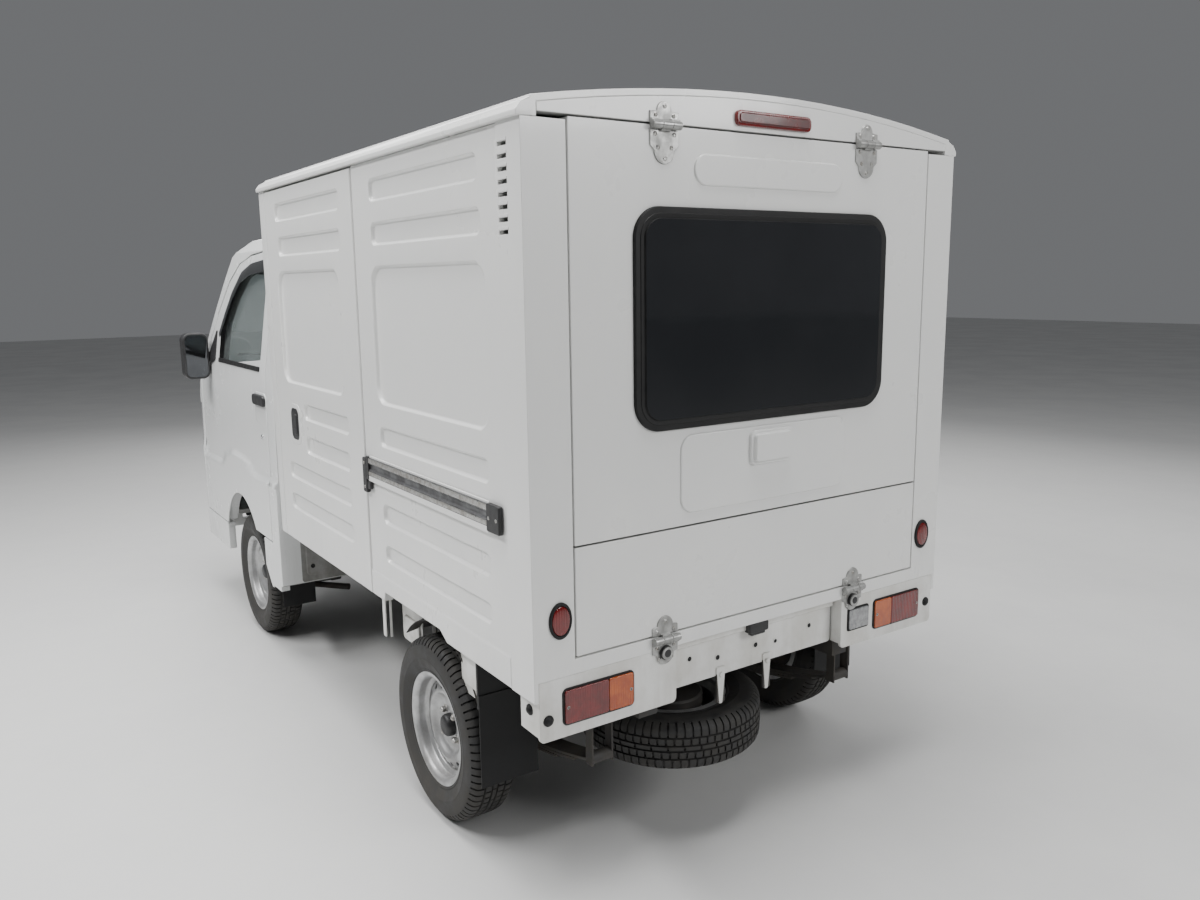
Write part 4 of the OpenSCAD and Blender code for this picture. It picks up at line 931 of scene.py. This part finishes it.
def foldSides(bm):
    # cuts the flanks into strips and lets the crease run over the wheel arch instead of straight
    (x0, stepX, countX), (z0, stepZ, countZ) = cab["stripX"], cab["stripZ"]
    cuts = [((x0 + stepX * k, 0, 0), (1, 0, 0)) for k in range(countX)]
    cuts += [((0, 0, z0 + stepZ * k), (0, 0, 1)) for k in range(countZ)]
    for spot, way in cuts:
        near = [f for f in bm.faces if abs(f.calc_center_median().y) > cab["flank"] and abs(f.normal.y) > 0.9]
        edges = {e for f in near for e in f.edges}
        verts = {v for f in near for v in f.verts}
        bmesh.ops.bisect_plane(bm, geom=near + list(edges) + list(verts), plane_co=spot, plane_no=way, dist=1e-6)
    for v in bm.verts:
        if abs(v.co.y) > 0.7185 and 0.55 < v.co.z < 0.9 and v.co.x < 1.61:
            drawn = cab["half"] - cab["fold"] * ease((v.co.z - creaseAt(v.co.x)) / cab["foldWidth"] + 0.2)
            was = 0.0
            for (za, a), (zb, b) in zip(cadFold, cadFold[1:]):
                if v.co.z >= za:
                    was = a + (b - a) * (v.co.z - za) / (zb - za)
            depth = max(0.0, cab["half"] - was - abs(v.co.y))
            if depth < cab["reach"]:
                v.co.y = math.copysign(drawn - depth, v.co.y)


# the cab's faces that point down, and its inner floor, low down take a plain grey darker than its white
for node, name, width in (("cab_shell", "cab_skin", 0.003), ("front_bumper", "bumper_skin", 0.004)):
    bm = nodeMesh(node)
    if node == "cab_shell":
        foldSides(bm)
    bevelSharp(bm, width, 2, 30)
    for f in bm.faces:
        spot = f.calc_center_median()
        if node == "cab_shell" and spot.z < 0.64 and (f.normal.z < -0.7 or abs(spot.y) < 0.69 and spot.x < 1.6):
            f.material_index = 1
    addMesh(name, bm, ["cabWhite", "cabLowGrey"], 34, (node,))

visor = {"line": [(0.533, 0.47), (0.78, 0.455), (0.93, 0.42), (1.05, 0.345), (1.15, 0.25), (1.232, 0.16)],
         "wide": 0.052, "off": 0.002, "bow": 0.01, "thick": 0.0025}
doorLean = {"y": 0.7205, "z": 1.19, "angle": 0.1482}
for side, word in sides:
    bm = nodeMesh(f"cab_door_{word}")
    foldSides(bm)
    bevelSharp(bm, 0.002, 2, 30)
    for f in bm.faces:
        spot = f.calc_center_median()
        if 0.52 < spot.x < 1.222 and 1.2 < spot.z < 1.628 and abs(f.normal.y) < 0.6:
            f.material_index = 1
    addMesh(f"door_skin_{word}", bm, ["cabWhite", "rubber"], 34, (f"cab_door_{word}",),
            body=f"door_{word}")
    softCopy(f"mirror_{word}", f"mirror_shell_{word}", "blackPlastic", 0.006, 3,
             body=f"door_{word}")
    slope = (Matrix.Translation((0, side * doorLean["y"], doorLean["z"])) @
             Matrix.Rotation(side * doorLean["angle"], 4, "X") @ onSide(side, 0))
    # the smoked visor follows the top edge of the window and bows outwards
    bm = bmesh.new()
    for v in grid(bm, 28, 3):
        t, across = (v.co.x + 0.5) * (len(visor["line"]) - 1), v.co.y + 0.5
        k = min(int(t), len(visor["line"]) - 2)
        (xa, za), (xb, zb) = visor["line"][k:k + 2]
        along = Vector((xa + (xb - xa) * (t - k), za + (zb - za) * (t - k), 0))
        down = Vector((zb - za, -(xb - xa), 0)).normalized()
        bow = visor["off"] + visor["bow"] * math.sin(across * 2.2)
        v.co = along + down * visor["wide"] * across + Vector((0, 0, bow))
    bmesh.ops.transform(bm, matrix=slope, verts=bm.verts)
    bmesh.ops.solidify(bm, geom=list(bm.faces), thickness=visor["thick"])
    addMesh(f"rain_visor_{word}", bm, "smokePlastic", 40, body=f"door_{word}")
    bm = bmesh.new()
    roundPrism(bm, slope, (0.528, 0.01), (1.215, 0.03), 0.004, 0.004, 0.0018, 4, 3)
    tinted(bm, 0)
    low = onSide(side, 0.7215)
    cup = roundPrism(bm, low, (0.446, 0.985), (0.616, 1.116), 0.03, 0.0026, 0.0022, 8, 3, -0.002)
    inset(bm, cup, 0.012, -0.0016)
    tinted(bm, 1)
    roundPrism(bm, low, (0.45, 1.062), (0.612, 1.107), 0.016, 0.016, 0.006, 8, 4)
    tinted(bm, 2)
    lathe(bm, [(0, 0.004), (0.002, 0.004), (0.0025, 0.0058), (0.009, 0.0054), (0.0105, 0.004), (0.0108, 0.0)],
          onSide(side, 0.724) @ shift(0.526, 0.932), 36)
    tinted(bm, 3)
    addMesh(f"door_trim_{word}", bm, ["rubber", "cabWhite", "blackPlastic", "chrome"],
            body=f"door_{word}")
    bm = bmesh.new()
    glassPlace = onRear(1.3588) @ Matrix.Diagonal((side, 1, 1, 1))
    roundPrism(bm, glassPlace, (0.737, 1.122), (0.833, 1.319), 0.026, 0.001, 0.0006, 8, 2, -0.0008)
    addMesh(f"mirror_glass_{word}", bm, "mirrorGlass", body=f"door_{word}")

print("front of the cab")
front = {"face": 1.6975, "lean": 0.0823, "foot": 0.62, "tall": 0.34, "back": 0.028}
for side, word in sides:
    bm = nodeMesh("headlamps")
    away = [v for v in bm.verts if v.co.y * side < 0]
    bmesh.ops.delete(bm, geom=away, context="VERTS")
    bevelSharp(bm, 0.006, 3, 28)
    addMesh(f"headlamp_{word}", bm, "clearLens", 34, ("headlamps",))


def onFront(z):
    # local X to the left, local Y up along the leaning nose, local Z forwards
    t = (z - front["foot"]) / front["tall"]
    return (Matrix.Translation((front["face"] - front["back"] * t, 0, z)) @
            Matrix(((0, -front["lean"], 1, 0), (1, 0, 0, 0), (0, 1, front["lean"], 0), (0, 0, 0, 1))))


lamp = {"y": 0.548, "z": 0.835, "marker": 0.062, "fogY": 0.49, "fogBack": 0.0555}
eyes = ((-lamp["y"], 0), (lamp["y"], 0))
bm = bmesh.new()
lathes(bm, [(0.086, -0.006), (0.086, 0.0015), (0.082, 0.003), (0.074, 0.002), (0.072, 0.0)],
       onFront(lamp["z"]), eyes, 64)
tinted(bm, 0)
lathes(bm, [(0.072, -0.001), (0.05, 0.0028), (0.024, 0.0042), (0.0, 0.0046)], onFront(lamp["z"]), eyes, 64)
tinted(bm, 1)
for side in (1, -1):
    roundPrism(bm, onFront(lamp["z"]), (side * lamp["y"] - lamp["marker"], -0.112),
               (side * lamp["y"] + lamp["marker"], -0.09), 0.006, 0.002, 0.0015, 4, 2, -0.004)
tinted(bm, 2)
addMesh("headlamp_detail", bm, ["chrome", "clearLens", "amberLens"])

bm = bmesh.new()
roundPrism(bm, onFront(0.9), (-0.43, -0.06), (0.43, 0.01), 0.02, 0.0012, 0.001, 6, 2, -0.004)
tinted(bm, 0)
for k in range(4):
    roundPrism(bm, onFront(0.9), (-0.415, -0.051 + 0.015 * k), (0.415, -0.0445 + 0.015 * k), 0.003, 0.003,
               0.0016, 3, 2, -0.001)
tinted(bm, 1)
addMesh("nose_grille", bm, ["blackPlastic", "dashPlastic"])

fogPlace = onFront(0.0) @ Matrix.Translation((0, 0, -lamp["fogBack"]))
bm = bmesh.new()
for side in (1, -1):
    roundPrism(bm, fogPlace, (side * lamp["fogY"] - 0.056, 0.352), (side * lamp["fogY"] + 0.056, 0.418), 0.01, 0.004,
               0.003, 6, 3, -0.004)
tinted(bm, 0)
for side in (1, -1):
    roundPrism(bm, fogPlace, (side * lamp["fogY"] - 0.03, 0.368), (side * lamp["fogY"] + 0.03, 0.402), 0.008, 0.008,
               0.003, 6, 3)
tinted(bm, 1)
addMesh("bumper_lamps", bm, ["blackPlastic", "amberLens"])

# wipers: arms from the scuttle and blades along the screen's foot
wiper = {"pivots": (-0.46, 0.1), "blade": 0.4, "links": 6}
screen = {"low": Vector((1.5975, 0, 1.105)), "high": Vector((1.1125, 0, 1.675)), "bulge": 0.02}
bm = bmesh.new()


def onScreen(t, y):
    here = screen["low"].lerp(screen["high"], t)
    out = Vector((0.57, 0, 0.485)).normalized() * (4 * screen["bulge"] * t * (1 - t) + 0.004)
    return here + out + Vector((0, y, 0))


for y in wiper["pivots"]:
    pivot, tip = onScreen(0.02, y), onScreen(0.17, y + 0.27)
    newRod(bm, pivot, tip, 0.0065, 0.004, 16)
    newRod(bm, pivot - Vector((0.006, 0, 0.006)), pivot + Vector((0.008, 0, 0.007)), 0.014, 0.011, 24)
    bladeAt = [onScreen(0.14 + 0.03 * k / wiper["links"], y + 0.05 + wiper["blade"] * k / wiper["links"])
               for k in range(wiper["links"] + 1)]
    for a, b in zip(bladeAt, bladeAt[1:]):
        newRod(bm, a, b, 0.0055, 0.0055, 12)
addMesh("wipers", bm, "blackPlastic")

# grey panel behind the cab: grommets, slots and fixing bolts
bm = bmesh.new()
behind = onRear(cab["back"])
prisms(bm, behind, ((-0.655, 0.34), (0.655, 0.628), 0.012, 0.0015, 0.0012, 4, 2, -0.002),
       ((-0.64, 0.56), (0.64, 0.612), 0.016, 0.005, 0.004, 5, 3, 0.0))
for side in (1, -1):
    roundPrism(bm, behind, (side * 0.56 - 0.075, 0.365), (side * 0.56 + 0.075, 0.535), 0.02, 0.0045, 0.0035, 6, 3,
               0.0)
tinted(bm, 0)
for side in (1, -1):
    for y, z, r in ((0.6, 0.5, 0.016), (0.52, 0.49, 0.01), (0.61, 0.405, 0.009), (0.45, 0.47, 0.008)):
        lathe(bm, [(r, 0.004), (r, 0.0075), (r * 0.8, 0.009), (r * 0.55, 0.008), (0, 0.006)],
              behind @ shift(side * y, z), 24)
tinted(bm, 1)
for side in (1, -1):
    lathes(bm, [(0, 0.011), (0.006, 0.011), (0.007, 0.0095), (0.007, 0.0065), (0.0105, 0.006), (0.0105, 0.0045)],
           behind, [(side * y, 0.585) for y in (0.635, 0.48, 0.3)], 6)
tinted(bm, 2)
addMesh("cab_back_panel", bm, ["cabLowGrey", "rubber", "zinc"])

print("brackets under the box")
bm = bmesh.new()
for side in (1, -1):
    stay = onSide(side, 0.716)
    roundPrism(bm, stay, (-0.735, 0.452), (-0.713, 0.6), 0.006, 0.0035, 0.0015, 4, 2)
    roundPrism(bm, stay @ Matrix.Translation((0, 0, -0.014)), (-0.7375, 0.45), (-0.7345, 0.6), 0.001, 0.0035,
               0.001, 2, 2, -0.0035)
    fold = onSide(side, 0.65)
    prisms(bm, fold, ((-0.866, 0.43), (-0.712, 0.6), 0.014, 0.003, 0.0014, 5, 2),
           ((-0.85, 0.455), (-0.73, 0.515), 0.018, 0.009, 0.005, 6, 3))
    splash = onSide(side, 0.69)
    prisms(bm, splash, ((-1.346, 0.445), (-1.216, 0.6), 0.016, 0.003, 0.0014, 5, 2),
           ((-1.33, 0.47), (-1.232, 0.56), 0.02, 0.008, 0.005, 6, 3))
addMesh("skirt_brackets", bm, "tailWhite", 38)

# inner wing over each rear wheel, a pressed trough with a rolled lip
inner = {"from": 44, "sweep": 110, "radius": 0.3, "lip": 0.006, "y": 0.622, "wide": 0.15, "z": 0.29}
bm = bmesh.new()
for side in (1, -1):
    for v in grid(bm, 24, 4):
        turn = math.radians(inner["from"] + inner["sweep"] * (v.co.x + 0.5))
        radius = inner["radius"] - (inner["lip"] if abs(v.co.y) > 0.49 else 0)
        v.co = (box["axle"] + radius * math.cos(turn), side * (inner["y"] + inner["wide"] * v.co.y),
                inner["z"] + radius * math.sin(turn))
bmesh.ops.solidify(bm, geom=list(bm.faces), thickness=0.002)
addMesh("rear_inner_wings", bm, "framePaint", 40)

print("seats")
seat = {"side": (0.105, 0.565), "frameSide": (0.112, 0.558), "head": (0.225, 0.445), "inset": 0.008,
        "edge": 0.024, "voxel": 0.0085,
        "pressure": 4.0, "frames": 20, "cap": 0.022, "held": 0.018, "seamDepth": 0.007, "seamWidth": 0.012,
        "soft": 0.8}
cushions = [("seat_pad", (0.56, 0.69), (0.915, 0.77), 0.0, (0.33, 0.67)),
            ("seat_back", (0.43, 0.8), (0.52, 1.185), -0.1, (0.3, 0.62)),
            ("seat_head", (0.445, 1.215), (0.512, 1.355), -0.06, ())]


def puff(piece, seams, low, high, upright):
    # gas in a sewn bag: the seams and the underside hold, the rest swells a little
    group = piece.vertex_groups.new(name="held")
    spans = high - low
    for v in piece.data.vertices:
        along = (v.co.y - low.y) / spans.y
        near = min([abs(along - s) * spans.y for s in seams] + [1])
        under = v.co.x - low.x if upright else v.co.z - low.z
        if near < seat["voxel"] * 0.8 or under < seat["held"]:
            group.add([v.index], 1.0, "REPLACE")
    start = [v.co.copy() for v in piece.data.vertices]
    cloth = piece.modifiers.new("cloth", "CLOTH")
    cloth.settings.quality = 4
    cloth.settings.use_pressure = True
    cloth.settings.uniform_pressure_force = seat["pressure"]
    cloth.settings.vertex_group_mass = "held"
    cloth.settings.effector_weights.gravity = 0
    cloth.point_cache.frame_start, cloth.point_cache.frame_end = 1, seat["frames"]
    for frameNumber in range(1, seat["frames"] + 1):
        scene.frame_set(frameNumber)
    settled = piece.evaluated_get(bpy.context.evaluated_depsgraph_get()).to_mesh()
    moved = [v.co.copy() for v in settled.vertices]
    piece.modifiers.remove(cloth)
    for v, a, b in zip(piece.data.vertices, start, moved):
        step = b - a
        if step.length > seat["cap"]:
            step *= seat["cap"] / step.length
        v.co = a + step
    scene.frame_set(1)


for name, (x0, z0), (x1, z1), lean, seams in cushions:
    bm = bmesh.new()
    upright = name != "seat_pad"
    y0, y1 = seat["head"] if name == "seat_head" else seat["side"]
    beam(bm, (x0, y0 + seat["inset"], z0), (x1, y1 - seat["inset"], z1), seat["edge"], 4)
    bmesh.ops.rotate(bm, cent=(x0, 0, z0), matrix=Matrix.Rotation(lean, 3, "Y"), verts=bm.verts)
    piece = addMesh(f"{name}_left", bm, "seatFabric", 60)
    remesh = piece.modifiers.new("remesh", "REMESH")
    remesh.mode = "VOXEL"
    remesh.voxel_size = seat["voxel"]
    bpy.context.view_layer.update()
    solid = bpy.data.meshes.new_from_object(piece.evaluated_get(bpy.context.evaluated_depsgraph_get()))
    piece.modifiers.clear()
    solid.materials.clear()
    solid.materials.append(materials["seatFabric"])
    piece.data = solid
    piece.data.name = f"{name}_left"
    low, high = Vector((x0, y0, z0)), Vector((x1, y1, z1))
    puff(piece, seams, low, high, upright)
    bm = bmesh.new()
    bm.from_mesh(piece.data)
    for v in bm.verts:
        # the seam lines stay a little sunk, as the thread pulls them
        along = (v.co.y - y0) / (y1 - y0)
        for s in seams:
            away = abs(along - s) * (y1 - y0)
            top = v.co.x > (x0 + x1) / 2 - 0.01 if upright else v.co.z > (z0 + z1) / 2
            if away < seat["seamWidth"] and top:
                drop = seat["seamDepth"] * (1 - away / seat["seamWidth"])
                v.co -= Vector((drop, 0, 0)) if upright else Vector((0, 0, drop))
    bm.to_mesh(piece.data)
    bm.free()
    piece.data.shade_smooth()
    bm = bmesh.new()
    bm.from_mesh(piece.data)
    bmesh.ops.scale(bm, vec=(1, -1, 1), verts=bm.verts)
    twin = addMesh(f"{name}_right", bm, "seatFabric", 60)

bm = bmesh.new()
for side in (1, -1):
    sideBeam(bm, side, (0.5, 0.905), seat["frameSide"], (0.652, 0.705), 0.01, 3)
    sideBeam(bm, side, (0.4075, 0.44), seat["frameSide"], (0.7, 1.19), 0.01, 3)
    for y in (side * 0.295, side * 0.375):
        newRod(bm, (0.452, y, 1.15), (0.446, y, 1.3), 0.006, None, 20)
addMesh("seat_frames", bm, "blackPlastic", 35, ("seats",))

print("springs and struts")
spring = {"y": 0.455, "half": 0.03, "base": 0.232, "rise": 0.08, "gap": 0.0082, "leaf": 0.007,
          "reach": (0.48, 0.4, 0.31, 0.2)}
bm = bmesh.new()


for side in (1, -1):
    for k, reach in enumerate(spring["reach"]):
        old = set(bm.faces)
        made = grid(bm, 20, 1)
        for v in made:
            x = v.co.x * 2 * reach
            v.co = (box["axle"] + x, side * (spring["y"] + 2 * v.co.y * spring["half"]),
                    spring["base"] - k * spring["gap"] + spring["rise"] * (x / spring["reach"][0]) ** 2)
        bmesh.ops.solidify(bm, geom=[f for f in bm.faces if f not in old], thickness=spring["leaf"])
    eye = spring["base"] + spring["rise"]
    for x, top in ((-0.48, 0.48), (0.48, 0.49)):
        newRod(bm, (box["axle"] + x, side * 0.424, eye), (box["axle"] + x, side * 0.486, eye), 0.017, None, 28)
        for y in (0.421, 0.483):
            sideBeam(bm, side, (box["axle"] + x - 0.016, box["axle"] + x + 0.016), (y, y + 0.006), (eye - 0.018, top),
                     0.002)
        sideBeam(bm, side, (box["axle"] + x - 0.022, box["axle"] + x + 0.022), (0.392, 0.489),
                 (top - 0.008, top + 0.012), 0.003)
    for x in (-0.045, 0.045):
        for y in (0.418, 0.492):
            newRod(bm, (box["axle"] + x, side * y, 0.19), (box["axle"] + x, side * y, 0.305), 0.0055, None, 14)
    sideBeam(bm, side, (box["axle"] - 0.06, box["axle"] + 0.06), (0.41, 0.5), (0.194, 0.204))
    sideBeam(bm, side, (box["axle"] - 0.055, box["axle"] + 0.055), (0.41, 0.5), (0.3, 0.308))
    newRod(bm, (box["axle"] - 0.08, side * 0.4, 0.225), (box["axle"] - 0.215, side * 0.365, 0.47), 0.021, 0.024, 28)
    # front strut with its coil, and the lower arm
    foot, head = Vector((wheel["front"], side * 0.557, 0.35)), Vector((wheel["front"], side * 0.506, 0.612))
    newRod(bm, foot, foot.lerp(head, 0.62), 0.021, 0.019, 28)
    newRod(bm, foot.lerp(head, 0.6), head, 0.009, None, 20)
    lean = (head - foot).to_track_quat("Z", "Y").to_matrix().to_4x4()
    old = set(bm.verts)
    wire = bmesh.ops.create_circle(bm, segments=10, radius=0.0055, matrix=shift(0.034, 0) @
                                   Matrix.Rotation(math.pi / 2, 4, "X"))["verts"]
    bmesh.ops.spin(bm, geom=wire + list({e for v in wire for e in v.link_edges}), cent=(0, 0, 0), axis=(0, 0, 1),
                   dvec=(0, 0, 0.056 / 72), angle=tau * 3, steps=72, use_duplicate=False)
    bmesh.ops.transform(bm, matrix=Matrix.Translation(foot.lerp(head, 0.79)) @ lean,
                        verts=[v for v in bm.verts if v not in old])
    lathe(bm, [(0.009, -0.002), (0.04, 0.0), (0.043, 0.005), (0.04, 0.003), (0.009, 0.002)],
          Matrix.Translation(foot.lerp(head, 0.77)) @ lean, 40)
    sideBeam(bm, side, (wheel["front"] - 0.018, wheel["front"] + 0.018), (0.345, 0.56), (0.176, 0.198), 0.006)
    newRod(bm, (wheel["front"] - 0.2, side * 0.36, 0.188), (wheel["front"], side * 0.535, 0.188), 0.014, 0.012, 20)
    newRod(bm, (wheel["front"], side * 0.565, 0.168), (wheel["front"], side * 0.565, 0.202), 0.021, 0.018, 28)
    sideBeam(bm, side, (wheel["front"] - 0.03, wheel["front"] + 0.03), (0.335, 0.385), (0.176, 0.432), 0.006)
addMesh("springs_and_struts", bm, "framePaint", 35, ("suspension",))

print("dashboard and controls")
softCopy("dashboard", "dashboard_skin", "dashPlastic", 0.006, 3)
softCopy("steering_wheel", "steering_wheel_skin", "blackPlastic", 0.0035, 2, 34,
         body="steering_wheel")
bm = bmesh.new()
facia = onRear(1.3375)
for y in (-0.5, -0.06, 0.06, 0.5):
    roundPrism(bm, facia, (y - 0.045, 0.965), (y + 0.045, 1.015), 0.008, 0.004, 0.002, 5, 2, -0.001)
    for k in range(5):
        roundPrism(bm, facia, (y - 0.04, 0.97 + 0.009 * k), (y + 0.04, 0.973 + 0.009 * k), 0.001, 0.006, 0.001, 2,
                   1, 0.002)
roundPrism(bm, facia, (-0.095, 0.89), (0.095, 0.95), 0.006, 0.004, 0.002, 4, 2, -0.001)
tinted(bm, 0)
lathes(bm, [(0, 0.016), (0.01, 0.016), (0.013, 0.013), (0.014, 0.004)], facia,
       [(y, 0.92) for y in (-0.06, 0.0, 0.06)], 28)
tinted(bm, 1)
addMesh("facia_details", bm, ["blackPlastic", "dashPlastic"])

low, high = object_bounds()
